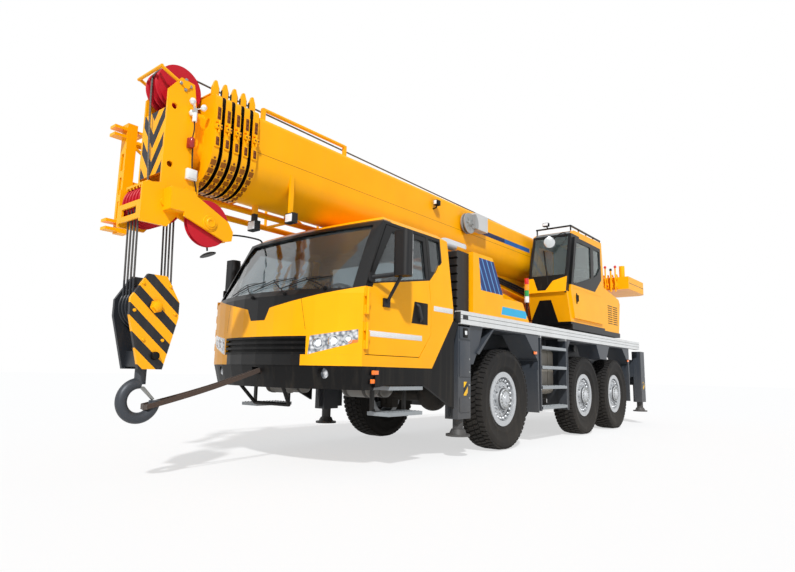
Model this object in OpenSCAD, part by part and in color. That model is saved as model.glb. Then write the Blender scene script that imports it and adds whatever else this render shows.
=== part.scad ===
// Three-axle mobile crane in travel order: carrier, slewing upper works and telescopic boom.
// Lengths run forward from the first axle, widths to the left of the middle, heights from the ground.

/* [Running gear] */
// Distance from the first axle to the second
axle_gap_front = 3000; // [2900:10:3150]
// Distance from the second axle to the third
axle_gap_rear = 1650; // [1600:10:1750]
// Outside diameter of a tyre
tyre_d = 1370; // [1330:5:1390]
// Width of a tyre
tyre_w = 385; // [365:5:395]
// Distance between the middles of a left and a right tyre
track_w = 2130; // [2110:5:2140]
// Diameter of the seat where a tyre sits on its rim
rim_seat_d = 635; // [620:1:650]
// Width of a rim between its flanges
rim_w = 250; // [230:5:260]
// Distance of a kingpin inside the middle of its tyre
kingpin_offset = 130; // [125:5:140]
// Radius of a wheel spindle
spindle_r = 70; // [60:1:80]

/* [Carrier] */
// Width over the body sides
body_w = 2550; // [2530:5:2600]
// Width over the two beams of the chassis
frame_w = 860; // [820:10:900]
// Width of one beam of the chassis
frame_beam_w = 130; // [100:5:150]
// Height of the underside of the chassis
frame_low_z = 950; // [930:5:980]
// Height of the top of the chassis, where the deck lies
frame_top_z = 1700; // [1690:5:1710]
// Thickness of the deck plates
deck_t = 55; // [40:1:60]
// Height of the top of the deck rail
rail_top_z = 1798; // [1790:1:1810]
// Depth of the deck rail
rail_h = 165; // [150:5:175]
// Width of the deck rail
rail_w = 90; // [70:5:100]
// Distance from the first axle forward to the front end of the deck
deck_front_x = 1215; // [1200:5:1230]
// Distance from the first axle back to the rear end of the deck
deck_rear = 6250; // [6200:10:6300]
// Thickness of the wheel guards
guard_t = 22; // [15:1:30]

/* [Outriggers] */
// Distance from the first axle forward to the front outriggers
front_outrigger_x = 1100; // [1090:5:1130]
// Distance from the first axle back to the rear outriggers
rear_outrigger = 6520; // [6500:5:6540]
// Width of an outrigger beam
beam_w = 215; // [200:5:220]
// Height of an outrigger beam
beam_h = 360; // [330:5:380]
// Height of the middle of the outrigger beams
beam_z = 1210; // [1190:5:1230]
// Wall of the outrigger housings
housing_t = 18; // [12:1:22]
// Clearance of a beam in its housing
beam_clear = 6; // [5:0.5:8]
// Travel of an outrigger beam
beam_travel = 1850; // [1600:10:1850]
// Radius of an outrigger jack's inner leg
jack_r = 65; // [55:1:75]
// Radius of an outrigger float
float_r = 150; // [130:5:165]
// Height of the underside of the stowed floats
float_low_z = 260; // [240:5:300]

/* [Driver's cab] */
// Distance from the first axle forward to the rear wall of the driver's cab
cab_rear_x = 1368; // [1360:1:1400]
// Distance from the first axle forward to the tip of the cab's nose
cab_nose_x = 3330; // [3300:5:3340]
// Height of the cab's roof
cab_roof_z = 2745; // [2700:5:2760]
// Height of the foot of the windscreen
cab_belt_z = 1800; // [1760:5:1850]
// Height of the cab's floor pan
cab_low_z = 1070; // [1050:5:1090]
// Height of the underside of the front bumper
bumper_low_z = 835; // [800:5:860]
// Thickness of the cab's walls and doors
cab_wall = 45; // [35:1:55]
// Thickness of the window glass
glass_t = 6; // [5:1:8]
// Gap round a door
door_gap = 7; // [6:1:8]

/* [Engine cover] */
// Height of the tall part of the engine cover
hood_top_z = 2610; // [2550:5:2630]
// Height of the low tail of the engine cover
hood_tail_z = 2085; // [2050:5:2120]

/* [Upper works] */
// Distance from the first axle back to the slewing axis
slew_back = 3750; // [3720:5:3780]
// Radius of the slewing ring
slew_r = 720; // [680:5:760]
// Distance between the inner faces of the boom's two cheek plates
cheek_gap = 710; // [706:1:720]
// Thickness of a cheek plate
cheek_t = 60; // [40:1:65]
// Width of the crane operator's cab
op_w = 740; // [720:5:760]
// Thickness of the operator's cab walls
op_wall = 40; // [30:1:50]
// Width of the counterweight
weight_w = 2540; // [2500:5:2550]
// Distance from the slewing axis to the rear face of the counterweight
tail_swing = 3250; // [3150:10:3300]
// Height of the underside of the counterweight
weight_low_z = 2960; // [2930:5:2980]
// Height of the top of the counterweight
weight_top_z = 3240; // [3200:5:3260]
// Radius of the winch drum
drum_r = 190; // [170:5:200]

/* [Boom] */
// Distance from the slewing axis back to the boom's foot pin
boom_foot_back = 1600; // [1550:5:1650]
// Depth of the boom's foot pin below the middle of the boom
boom_foot_drop = 190; // [170:5:220]
// Width of the boom's outer section
boom_w = 690; // [680:2:700]
// Depth of the boom's outer section
boom_h = 870; // [850:5:880]
// Height of the middle of the boom
boom_z = 3240; // [3235:1:3250]
// Wall of a boom section
boom_wall = 10; // [8:1:12]
// Clearance between a boom section and the one round it
boom_clear = 20; // [15:1:22]
// Distance from the first axle forward to the end of the outer section's collar
boom_mouth_x = 3810; // [3780:5:3830]
// Distance from one section's collar to the next
collar_pitch = 110; // [104:1:112]
// Travel of each boom section
section_travel = 7000; // [6000:50:7100]

/* [Boom head and hook] */
// Radius of the head sheaves over their flanges
sheave_r = 225; // [215:1:230]
// Thickness of a head side plate
head_plate_t = 25; // [20:1:30]
// Radius of the hook block's sheaves over their flanges
block_sheave_r = 205; // [195:1:210]
// Height of the hook block's sheave axle
block_axle_z = 1560; // [1500:10:1600]
// Radius of the hoist rope
rope_r = 9; // [8:0.5:11]
// Radius of the jib pin bores in the head
jib_pin_r = 30; // [25:0.5:32]

/* [Luffing cylinder] */
// Distance from the slewing axis forward to the cylinder's foot pin
luff_foot_x = 350; // [300:10:400]
// Height of the cylinder's foot pin
luff_foot_z = 2200; // [2190:5:2210]
// Distance from the slewing axis forward to the cylinder's upper pin
luff_eye_x = 3550; // [3500:10:3580]
// Depth of the cylinder's upper pin below the boom's belly
luff_eye_drop = 145; // [140:1:155]
// Radius of the cylinder's barrel
barrel_r = 140; // [120:2:145]
// Radius of the cylinder's rod
rod_r = 95; // [80:1:100]

/* [Hidden] */
$fn = 64;

// Running gap between faces that slide or turn on each other
run_gap = 0.3;
// The machine stands with the middle of its length over the origin
axle_1_x = 1080;
axle_2_x = axle_1_x - axle_gap_front;
axle_3_x = axle_2_x - axle_gap_rear;
axle_z = tyre_d / 2;
half_w = body_w / 2;
slew_x = axle_1_x - slew_back;
foot_x = slew_x - boom_foot_back;
boom_foot_z = boom_z - boom_foot_drop;
luff_eye_z = boom_z - boom_h / 2 - luff_eye_drop;
mouth_x = axle_1_x + boom_mouth_x;
head_x = mouth_x + 4 * collar_pitch + 108;
cab_rear = axle_1_x + cab_rear_x;
cab_nose = axle_1_x + cab_nose_x;
deck_front = axle_1_x + deck_front_x;
deck_back = axle_1_x - deck_rear;
out_front = axle_1_x + front_outrigger_x;
out_rear = axle_1_x - rear_outrigger;

// Box between two corners
module box(low, high) {
    translate(low) cube(high - low);
}

// Plate with a side outline, from one width to another
module side_plate(points, y0, y1) {
    translate([0, y1, 0]) rotate([90, 0, 0]) linear_extrude(y1 - y0) polygon(points);
}

// Round bar across the machine
module bar_y(x, z, y0, y1, r) {
    translate([x, y0, z]) rotate([-90, 0, 0]) cylinder(h = y1 - y0, r = r);
}

// Round bar between two points
module bar(a, b, r, sides = 64) {
    d = b - a;
    span = norm(d);
    translate(a) rotate([0, acos(d[2] / span), atan2(d[1], d[0])]) cylinder(h = span, r = r, $fn = sides);
}

// Rectangle with round corners
module round_rect(low, high, r) {
    for (x = [low[0] + r, high[0] - r], y = [low[1] + r, high[1] - r]) translate([x, y]) circle(r = r);
    translate([low[0] + r, low[1]]) square([high[0] - low[0] - 2 * r, high[1] - low[1]]);
    translate([low[0], low[1] + r]) square([high[0] - low[0], high[1] - low[1] - 2 * r]);
}

// Column with round edges between two heights
module round_column(low, high, r, z0, z1) {
    translate([0, 0, z0]) linear_extrude(z1 - z0) round_rect(low, high, r);
}

// The same piece on both sides
module both_sides() {
    children();
    mirror([0, 1, 0]) children();
}

// Left piece as drawn, right piece mirrored
module side(s) {
    if (s > 0) children();
    else mirror([0, 1, 0]) children();
}

/* Chassis and axles */

front_frame_x = axle_1_x + 2830;
front_beam_z = frame_low_z - 100;
tail_frame_x = deck_back - 330;
step_down_x = cab_rear - 100;
cross_t = 90;
cross_xs = [tail_frame_x, axle_3_x + 500, axle_2_x - 550, axle_1_x - 1000, step_down_x - cross_t];

// One beam of the chassis: full depth under the deck, low under the driver's cab
module frame_beam() {
    inner_y = frame_w / 2 - frame_beam_w;
    box([tail_frame_x, inner_y, frame_low_z], [step_down_x, frame_w / 2, frame_top_z]);
    box([step_down_x - 1, inner_y, front_beam_z], [front_frame_x, frame_w / 2, cab_low_z]);
}

tank_front_x = axle_1_x - 1190;
tank_len = 860;
tank_zs = [720, 1460];
// Round-edged tank on the side of the chassis, behind the ladder, with its straps
module side_tank() {
    out_y = half_w - 235;
    rotate([90, 0, 90]) {
        for (x = [0.22, 0.78]) translate([0, 0, tank_front_x - x * tank_len - 35]) linear_extrude(70)
            round_rect([frame_w / 2 - 1, tank_zs[0] - 8], [out_y + 8, tank_zs[1] + 8], 98);
        translate([0, 0, tank_front_x - tank_len]) linear_extrude(tank_len)
            round_rect([frame_w / 2 - 1, tank_zs[0]], [out_y, tank_zs[1]], 90);
    }
}

ring_wall = 120;
// Two box beams with cross members, a tank on each side and the seat of the slewing ring
module chassis_frame() {
    seat_h = 200;
    color("dimgray") difference() {
        union() {
            both_sides() {
                frame_beam();
                side_tank();
            }
            for (x = cross_xs)
                box([x, -frame_w / 2, frame_low_z + 40], [x + cross_t, frame_w / 2, frame_top_z - 60]);
            box([front_frame_x - cross_t, -frame_w / 2, front_beam_z],
                [front_frame_x, frame_w / 2, cab_low_z]);
            translate([slew_x, 0, frame_top_z - seat_h]) difference() {
                cylinder(h = ring_z - frame_top_z + seat_h, r = slew_r);
                translate([0, 0, -1]) cylinder(h = 2 * seat_h, r = slew_r - ring_wall);
            }
        }
        for (x = [out_front, out_rear]) housing_envelope(x);
    }
}

kingpin_y = track_w / 2 - kingpin_offset;
kingpin_r = 32;
knuckle_h = 170;
fork_h = 48;
strut_y = frame_w / 2 - frame_beam_w / 2;

// One axle: drive housing, tube and the seats of its suspension struts
module axle_beam(x) {
    bar_y(x, axle_z, -kingpin_y + 190, kingpin_y - 190, 95);
    translate([x, 0, axle_z]) sphere(r = 230);
    both_sides() translate([x, strut_y, axle_z]) cylinder(h = frame_low_z - axle_z, r = 60);
}

// Fork at the end of a steered axle with its kingpin
module axle_fork(x) {
    difference() {
        union() {
            translate([x, kingpin_y, axle_z - knuckle_h - fork_h]) cylinder(h = 2 * (knuckle_h + fork_h),
                r = 78);
            box([x - 78, kingpin_y - 200, axle_z - knuckle_h - fork_h],
                [x + 78, kingpin_y, axle_z + knuckle_h + fork_h]);
        }
        translate([x, kingpin_y, axle_z - knuckle_h]) cylinder(h = 2 * knuckle_h, r = 112);
    }
    translate([x, kingpin_y, axle_z - knuckle_h]) cylinder(h = 2 * knuckle_h, r = kingpin_r);
}

module axles() {
    color("dimgray") {
        for (x = [axle_1_x, axle_2_x, axle_3_x]) axle_beam(x);
        bar([axle_2_x + 200, 0, axle_z], [axle_3_x - 200, 0, axle_z], 45);
        for (x = [axle_1_x, axle_3_x]) both_sides() axle_fork(x);
        both_sides() {
            bar_y(axle_2_x, axle_z, kingpin_y - 200, spindle_end_y, spindle_r);
            bar_y(axle_2_x, axle_z, kingpin_y - 200, hub_in_y - 5, 150);
        }
    }
}

hub_in_y = track_w / 2 - 30;
spindle_end_y = track_w / 2 + 80;

// Steering knuckle on its kingpin, with the wheel spindle
module knuckle(x, s) {
    color("gray") side(s) difference() {
        union() {
            translate([x, kingpin_y, axle_z - knuckle_h + 3]) cylinder(h = 2 * (knuckle_h - 3), r = 80);
            bar_y(x, axle_z, kingpin_y, spindle_end_y, spindle_r);
            bar_y(x, axle_z, kingpin_y + 20, hub_in_y - 5, 105);
        }
        translate([x, kingpin_y, axle_z - knuckle_h]) cylinder(h = 2 * knuckle_h, r = kingpin_r + run_gap);
    }
}

module knuckle_1l() { knuckle(axle_1_x, 1); }
module knuckle_1r() { knuckle(axle_1_x, -1); }
module knuckle_3l() { knuckle(axle_3_x, 1); }
module knuckle_3r() { knuckle(axle_3_x, -1); }

seat_r = rim_seat_d / 2;
flange_r = seat_r + 57;
flange_t = 16;

// Tyre section: radius against width, from bead to bead over crown and shoulders
function tyre_outline() = let (r = tyre_d / 2, w = tyre_w / 2, b = rim_w / 2, s = (tyre_d / 2 - seat_r))
    [[seat_r + run_gap, -b + 0.5], [flange_r, -b + 0.5], [flange_r + 20, -b - 20],
        [seat_r + 0.45 * s, -w + 4],
     [seat_r + 0.6 * s, -w], [seat_r + 0.76 * s, -w + 6], [r - 45, -w + 18], [r - 14, -w + 40],
         [r, -w + 75],
     [r, w - 75], [r - 14, w - 40], [r - 45, w - 18], [seat_r + 0.76 * s, w - 6], [seat_r + 0.6 * s, w],
     [seat_r + 0.45 * s, w - 4], [flange_r + 20, b + 20], [flange_r, b - 0.5], [seat_r + run_gap, b - 0.5]];

module tyre(x, s) {
    color("black") side(s) translate([x, track_w / 2, axle_z]) rotate([-90, 0, 0])
        rotate_extrude() polygon(tyre_outline());
}

module tyre_1l() { tyre(axle_1_x, 1); }
module tyre_1r() { tyre(axle_1_x, -1); }
module tyre_2l() { tyre(axle_2_x, 1); }
module tyre_2r() { tyre(axle_2_x, -1); }
module tyre_3l() { tyre(axle_3_x, 1); }
module tyre_3r() { tyre(axle_3_x, -1); }

bolt_circle_r = 190;
disc_y = 60;
hub_out_y = 165;

// Rim with dished disc, bolt ring and planetary hub
module rim(x, s) {
    b = rim_w / 2;
    color("silver") side(s) translate([x, track_w / 2, axle_z]) rotate([-90, 0, 0]) {
        rotate_extrude() polygon([[seat_r - 18, -b - flange_t], [flange_r - 4, -b - flange_t],
            [flange_r - 4, -b],
            [seat_r, -b], [seat_r, b], [flange_r - 4, b], [flange_r - 4, b + flange_t],
                [seat_r - 18, b + flange_t],
            [seat_r - 18, disc_y + 22], [230, disc_y + 42], [160, disc_y + 42], [150, hub_out_y - 20],
            [125, hub_out_y], [0, hub_out_y], [0, spindle_end_y - track_w / 2 + 2],
            [spindle_r + run_gap, spindle_end_y - track_w / 2 + 2],
                [spindle_r + run_gap, hub_in_y - track_w / 2],
            [130, hub_in_y - track_w / 2], [140, disc_y], [230, disc_y + 20], [seat_r - 18, disc_y]]);
        for (a = [0 : 36 : 324]) rotate(a) translate([bolt_circle_r, 0, disc_y + 41]) cylinder(h = 26,
            r = 17);
    }
}

module rim_1l() { rim(axle_1_x, 1); }
module rim_1r() { rim(axle_1_x, -1); }
module rim_2l() { rim(axle_2_x, 1); }
module rim_2r() { rim(axle_2_x, -1); }
module rim_3l() { rim(axle_3_x, 1); }
module rim_3r() { rim(axle_3_x, -1); }

/* Deck and wheel guards */

engine_len = 1300;
engine_half_w = frame_w / 2 - frame_beam_w - 30;
engine_x = axle_1_x + 140;
module engine_block() {
    color("gray") box([engine_x - engine_len / 2, -engine_half_w, frame_low_z + 100],
        [engine_x + engine_len / 2, engine_half_w, hood_tail_z - 60]);
    // engine mounts across the chassis beams
    color("gray") for (x = [-1, 1]) box([engine_x + x * 0.35 * engine_len - 60, -frame_w / 2 + frame_beam_w,
        frame_low_z + 160], [engine_x + x * 0.35 * engine_len + 60, frame_w / 2 - frame_beam_w,
            frame_low_z + 300]);
}

rail_in_y = half_w - rail_w;
deck_top_z = frame_top_z + deck_t;
module deck() {
    color("slategray") difference() {
        box([deck_back, -rail_in_y, frame_top_z], [deck_front, rail_in_y, deck_top_z]);
        translate([slew_x, 0, frame_top_z - 1]) cylinder(h = deck_t + 2, r = slew_r + 30);
        box([engine_x - engine_len / 2 - 20, -engine_half_w - 20, frame_top_z - 1],
            [engine_x + engine_len / 2 + 20, engine_half_w + 20, deck_top_z + 1]);
    }
}

ladder_front_x = axle_1_x - 1100;
ladder_w = 1040;
tread_z = [500, 810, 1120, 1430];
tread_t = 45;
stringer_t = 40;

// One ladder: two slanted stringers with plate treads
module ladder() {
    for (x = [ladder_front_x - stringer_t, ladder_front_x - ladder_w])
        side_plate([[x, tread_z[0] - 20], [x + stringer_t, tread_z[0] - 20],
            [x + stringer_t, rail_top_z - rail_h],
            [x, rail_top_z - rail_h]], half_w - 160, half_w - 20);
    for (z = tread_z) box([ladder_front_x - ladder_w + stringer_t, half_w - 180, z],
        [ladder_front_x - stringer_t, half_w - 10, z + tread_t]);
}

module walkways() {
    color("silver") both_sides() {
        box([deck_back, rail_in_y, rail_top_z - rail_h], [deck_front, half_w, rail_top_z]);
        ladder();
        cab_steps();
    }
}

guard_in_y = half_w - 400;
guard_out_y = half_w - 15;
guard_top_z = rail_top_z - rail_h;
arch_z = guard_top_z - guard_t;
front_flap_z = 460;
rear_flap_z = 520;
arch_web_z = 1350;
// Folded wheel guards under the deck rail, with a straight flap behind the wheels and before the second axle
module wheel_guards() {
    a1 = axle_1_x;
    a2 = axle_2_x;
    a3 = axle_3_x;
    color("dimgray") both_sides() {
        difference() {
            side_plate([[a1 + 800, 1290], [a1 + 380, guard_top_z], [a1 - 1000 - guard_t, guard_top_z],
                [a1 - 1000 - guard_t, front_flap_z], [a1 - 1000, front_flap_z], [a1 - 970, 1270],
                    [a1 + 780, 1270]],
                guard_in_y, guard_out_y);
            side_plate([[a1 + 760, 1260], [a1 + 370, arch_z], [a1 - 580, arch_z], [a1 - 1000, 1230],
                [a1 - 1000, 1100],
                [a1 + 760, 1100]], guard_in_y - 1, guard_out_y + 1);
        }
        difference() {
            side_plate([[a2 + 822 + guard_t, front_flap_z], [a2 + 822 + guard_t, guard_top_z],
                [a3 - 835 - guard_t, guard_top_z], [a3 - 835 - guard_t, rear_flap_z]],
                    guard_in_y, guard_out_y);
            side_plate([[a2 + 822, front_flap_z - 200], [a2 + 822, 1480], [a2 + 720, arch_z],
                [a2 - 560, arch_z],
                [a2 - 740, arch_web_z], [a3 + 560, arch_web_z], [a3 + 380, arch_z], [a3 - 420, arch_z],
                    [a3 - 800, 1300],
                [a3 - 835, rear_flap_z], [a3 - 835, front_flap_z - 200]], guard_in_y - 1, guard_out_y + 1);
        }
    }
}

/* Outriggers */

housing_half_w = half_w - 225;
beam_slot_w = beam_w + 2 * beam_clear;
housing_len = 2 * beam_slot_w + 3 * housing_t;

slot_low_z = beam_z - beam_h / 2 - run_gap;
slot_top_z = beam_z + beam_h / 2 + beam_clear;
module housing_envelope(x) {
    box([x - housing_len / 2, -housing_half_w, slot_low_z - housing_t],
        [x + housing_len / 2, housing_half_w, slot_top_z + housing_t]);
}

// Crosswise housing with one slot for the left beam and one for the right beam, which slide on its floor
module housing(x) {
    difference() {
        housing_envelope(x);
        for (s = [-1, 1]) let (mid = x + s * (beam_slot_w + housing_t) / 2)
            box([mid - beam_slot_w / 2, -half_w, slot_low_z], [mid + beam_slot_w / 2, half_w, slot_top_z]);
    }
}

tail_bar_x = out_rear - housing_len / 2;
tail_bar_half = half_w - 255;
// Bar behind the rear housing with three round lamps at each end
module tail_bar() {
    low_z = slot_low_z - housing_t - 170;
    box([tail_bar_x - 70, -tail_bar_half, low_z], [tail_bar_x + 1, tail_bar_half, low_z + 190]);
    both_sides() for (i = [0 : 2]) translate([tail_bar_x - 95, tail_bar_half - 85 - i * 140, low_z + 95])
        rotate([0, 90, 0]) cylinder(h = 40, r = 58);
}

module outrigger_housings() {
    color("dimgray") {
        for (x = [out_front, out_rear]) housing(x);
        tail_bar();
    }
}

sleeve_w = 290;
sleeve_d = 190;
sleeve_low_z = 470;
sleeve_top_z = 1600;
sleeve_y = half_w - 20 - sleeve_d / 2;
// A beam that is fully out still lies this far in its housing
beam_hold = 220;
beam_in_y = housing_half_w - beam_hold - beam_travel;

front_cover = [[-280, 500], [200, 500], [200, 1250], [120, 1590], [-640, 1590], [-280, 1295]];
rear_cover = [[-270, 500], [240, 500], [240, 1450], [-270, 1450]];
cover_t = 25;
// Outrigger beam with the upright sleeve of its jack and the cover plate round it
// The left beam lies in the front slot of its housing
module outrigger_beam(x, s, cover) {
    y_out = sleeve_y - sleeve_d / 2;
    mid = x + s * (beam_slot_w + housing_t) / 2;
    color("dimgray") side(s) difference() {
        union() {
            box([mid - beam_w / 2, beam_in_y, beam_z - beam_h / 2],
                [mid + beam_w / 2, y_out + 10, beam_z + beam_h / 2]);
            box([x - sleeve_w / 2, y_out, sleeve_low_z],
                [x + sleeve_w / 2, y_out + sleeve_d, sleeve_top_z]);
            box([x - housing_len / 2 + 20, y_out, beam_z - beam_h / 2],
                [x + housing_len / 2 - 20, y_out + 60, beam_z + beam_h / 2]);
            translate([x, 0, 0]) side_plate(cover, y_out + 50, y_out + 50 + cover_t);
        }
        translate([x, sleeve_y, sleeve_low_z - 1])
            cylinder(h = sleeve_top_z - sleeve_low_z - 40, r = jack_r + run_gap);
    }
}

module beam_fl() { outrigger_beam(out_front, 1, front_cover); }
module beam_fr() { outrigger_beam(out_front, -1, front_cover); }
module beam_rl() { outrigger_beam(out_rear, 1, rear_cover); }
module beam_rr() { outrigger_beam(out_rear, -1, rear_cover); }

// Jack leg in its sleeve with its round float
module jack(x, s) {
    color("silver") side(s) translate([x, sleeve_y, 0]) {
        translate([0, 0, float_low_z + 20]) cylinder(h = sleeve_top_z - 60 - float_low_z - 20, r = jack_r);
        translate([0, 0, float_low_z]) cylinder(h = 25, r = float_r);
        translate([0, 0, float_low_z + 25]) cylinder(h = 60, r1 = 110, r2 = 80);
    }
}

module jack_fl() { jack(out_front, 1); }
module jack_fr() { jack(out_front, -1); }
module jack_rl() { jack(out_rear, 1); }
module jack_rr() { jack(out_rear, -1); }

/* Driver's cab */

// Plan outline of the cab: straight sides and a bowed front between two half widths
function bow(x_mid, x_side, half, n = 10) = let (s = x_mid - x_side, r = (half * half + s * s) / (2 * s),
    a = asin(half / r)) [for (i = [0 : n]) let (t = a - 2 * a * i / n) [x_mid - r + r * cos(t),
        r * sin(t)]];
module cab_slice(z, x_mid, x_side, half, x_back) {
    translate([0, 0, z]) linear_extrude(1) polygon(concat([[x_back, -half], [x_back, half]],
        bow(x_mid, x_side, half)));
}

cab_half = half_w - 15;
roof_half = half_w - 115;
roof_front_x = cab_nose - 640;
// Outer form of the cab, drawn in by an inset for its inner form
module cab_form(inset) {
    hull() {
        cab_slice(cab_low_z + inset, cab_nose - inset, cab_nose - 330 - inset, cab_half - inset,
            cab_rear + inset);
        cab_slice(cab_belt_z, cab_nose - inset, cab_nose - 330 - inset, cab_half - inset, cab_rear + inset);
    }
    hull() {
        cab_slice(cab_belt_z, cab_nose - inset, cab_nose - 330 - inset, cab_half - inset, cab_rear + inset);
        cab_slice(cab_roof_z - 90 - inset, roof_front_x - inset, roof_front_x - 90 - inset,
            roof_half - inset,
            cab_rear + inset);
    }
    hull() {
        cab_slice(cab_roof_z - 91 - inset, roof_front_x - inset, roof_front_x - 90 - inset,
            roof_half - inset,
            cab_rear + inset);
        cab_slice(cab_roof_z - 1 - inset, roof_front_x - 160 - inset, roof_front_x - 220 - inset,
            roof_half - 130 - inset,
            cab_rear + 40 + inset);
    }
}

hinge_x = cab_nose - 375;
hinge_r = 17;
hinge_h = 90;
hinge_zs = [cab_low_z + 260, cab_belt_z - 120];
hinge_at = [hinge_x + 3, cab_half + hinge_r + 6];
door_rear_x = cab_rear + 470;
door_low_z = cab_low_z + 120;
// Side outlines of a door, its window and the window behind it, grown by a margin
function door_outline(m) = [[hinge_x + m, door_low_z - m], [hinge_x + m, cab_belt_z + 80],
    [roof_front_x - 130 + m, cab_roof_z - 130 + m], [door_rear_x - m, cab_roof_z - 130 + m],
    [door_rear_x - m, door_low_z + 260], [door_rear_x + 220 - m, door_low_z - m]];
function door_window(m) = [[hinge_x - 80 + m, cab_belt_z + 130 - m],
    [roof_front_x - 220 + m, cab_roof_z - 190 + m],
    [door_rear_x + 60 - m, cab_roof_z - 190 + m], [door_rear_x + 60 - m, cab_belt_z + 300 - m]];
function quarter_window(m) = [[door_rear_x - 60 + m, cab_belt_z + 410 - m],
    [door_rear_x - 60 + m, cab_roof_z - 130 + m], [cab_rear + 190 - m, cab_roof_z - 130 + m],
    [cab_rear + 190 - m, cab_belt_z + 540 - m], [door_rear_x - 180 - m, cab_belt_z + 410 - m]];

// Lower rear corner that is cut away over the front outrigger, drawn in by an inset
module cab_rear_cut(inset) {
    side_plate([[cab_rear - 10, cab_low_z - 10], [cab_rear + 440 + inset, cab_low_z - 10],
        [cab_rear + 440 + inset, cab_low_z + inset], [cab_rear + inset, cab_low_z + 590 + inset],
        [cab_rear - 10, cab_low_z + 590 + inset]], -half_w, half_w);
}

// Openings in the cab's front wall, drawn in by an inset for what fills them
module windscreen_cut(inset) {
    low = cab_half - 130 - inset;
    top = roof_half - 110 - inset;
    low_z = cab_belt_z + 60 + inset;
    top_z = cab_roof_z - 130 - inset;
    translate([cab_nose - 800, 0, 0]) rotate([90, 0, 90]) linear_extrude(900)
        polygon([[-low, low_z], [low, low_z], [top, top_z], [-top, top_z]]);
}
// Front view of a headlamp, drawn in by an inset
function lamp_outline(m) = [[715 + m, lamp_low_z + m], [lamp_out_y - m, lamp_low_z + 125 + m],
    [lamp_out_y - m, lamp_top_z + 65 - m], [735 + m, lamp_top_z - m]];
module lamp_cut(inset) {
    both_sides() translate([cab_nose - 340 + inset, 0, 0]) rotate([90, 0, 90]) linear_extrude(440)
        polygon(lamp_outline(inset));
}
module grille_cut(inset) {
    box([cab_nose - 200, -690 + inset, lamp_low_z + inset],
        [cab_nose + 100, 690 - inset, lamp_top_z - inset]);
}
module back_window_cut(inset) {
    box([cab_rear - 50, -850 + inset, cab_belt_z + 250 + inset],
        [cab_rear + cab_wall + 60, 850 - inset, cab_roof_z - 250 - inset]);
}

module quarter_cut(inset) {
    both_sides() side_plate(quarter_window(-inset), half_w - 330, half_w + 50);
}

// Hinge barrel beside the door post, on its tab
module hinge_barrel(z, h, x_tab) {
    translate([hinge_at[0], hinge_at[1], z]) cylinder(h = h, r = hinge_r);
    box([min(x_tab, hinge_at[0]), cab_half - 1, z], [max(x_tab, hinge_at[0]), hinge_at[1], z + h]);
}

// Joint all round the cab where the floor pan or the roof meets the walls
module panel_seam(z) {
    box([cab_rear - 50, -half_w, z - run_gap], [cab_nose + 50, half_w, z]);
}

module cab_shell() {
    color("gold") {
        difference() {
            cab_form(0);
            difference() {
                cab_form(cab_wall);
                cab_rear_cut(cab_wall);
            }
            cab_rear_cut(0);
            both_sides() side_plate(door_outline(door_gap), half_w - 330, half_w + 50);
            windscreen_cut(0);
            lamp_cut(0);
            grille_cut(0);
            back_window_cut(0);
            quarter_cut(0);
            for (z = [door_low_z - door_gap, cab_roof_z - 130 + door_gap]) panel_seam(z);
        }
        both_sides() for (z = hinge_zs, k = [-1, 1])
            hinge_barrel(z + (k < 0 ? -hinge_h - run_gap : hinge_h + run_gap), hinge_h, hinge_x + 38);
    }
}

// Wall of the cab between two depths, for what is let into it
module cab_skin(outer, inner) {
    difference() {
        cab_form(outer);
        cab_form(inner);
    }
}

glass_in = cab_wall / 2 - glass_t / 2;
handle_low_z = cab_belt_z - 235;
handle_front_x = door_rear_x + 340;
// Recess of a door's handle with the grip across it
module handle_recess() {
    difference() {
        side_plate([[handle_front_x, handle_low_z], [handle_front_x - 60, handle_low_z + 230],
            [door_rear_x + 60, handle_low_z + 235], [door_rear_x + 70, handle_low_z]],
                cab_half - 30, half_w + 50);
        box([door_rear_x + 130, cab_half - 14, handle_low_z - 10],
            [door_rear_x + 175, cab_half + 1, handle_low_z + 250]);
    }
}

// Door panel on its hinges with its window pane
module door(s) {
    color("gold") side(s) {
        difference() {
            intersection() {
                cab_skin(0, cab_wall);
                side_plate(door_outline(0), half_w - 330, half_w + 50);
            }
            side_plate(door_window(0), half_w - 400, half_w + 50);
            handle_recess();
        }
        for (z = hinge_zs) hinge_barrel(z, hinge_h, hinge_x - 40);
        intersection() {
            cab_skin(glass_in, glass_in + glass_t);
            side_plate(door_window(-run_gap), half_w - 330, half_w + 50);
        }
    }
}

module door_left() { door(1); }
module door_right() { door(-1); }

module cab_glass() {
    color("black") intersection() {
        cab_skin(glass_in, glass_in + glass_t);
        union() {
            windscreen_cut(run_gap);
            back_window_cut(run_gap);
            quarter_cut(run_gap);
        }
    }
}

lamp_low_z = cab_low_z + 110;
lamp_top_z = lamp_low_z + 190;
lamp_out_y = cab_half - 40;
slat_h = 26;
slat_count = 4;
fog_at = [cab_nose - 270, 870, cab_low_z - 75];
fog_r = 55;

// Slatted grille between the lamps
module grille() {
    slat_pitch = (lamp_top_z - lamp_low_z - slat_h) / (slat_count - 1);
    intersection() {
        grille_cut(run_gap);
        union() {
            cab_skin(cab_wall - 12, cab_wall);
            intersection() {
                cab_skin(0, cab_wall);
                for (i = [0 : slat_count - 1]) let (z = lamp_low_z + i * slat_pitch)
                    box([cab_nose - 300, -700, z], [cab_nose + 50, 700, z + slat_h]);
            }
        }
    }
}

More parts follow.
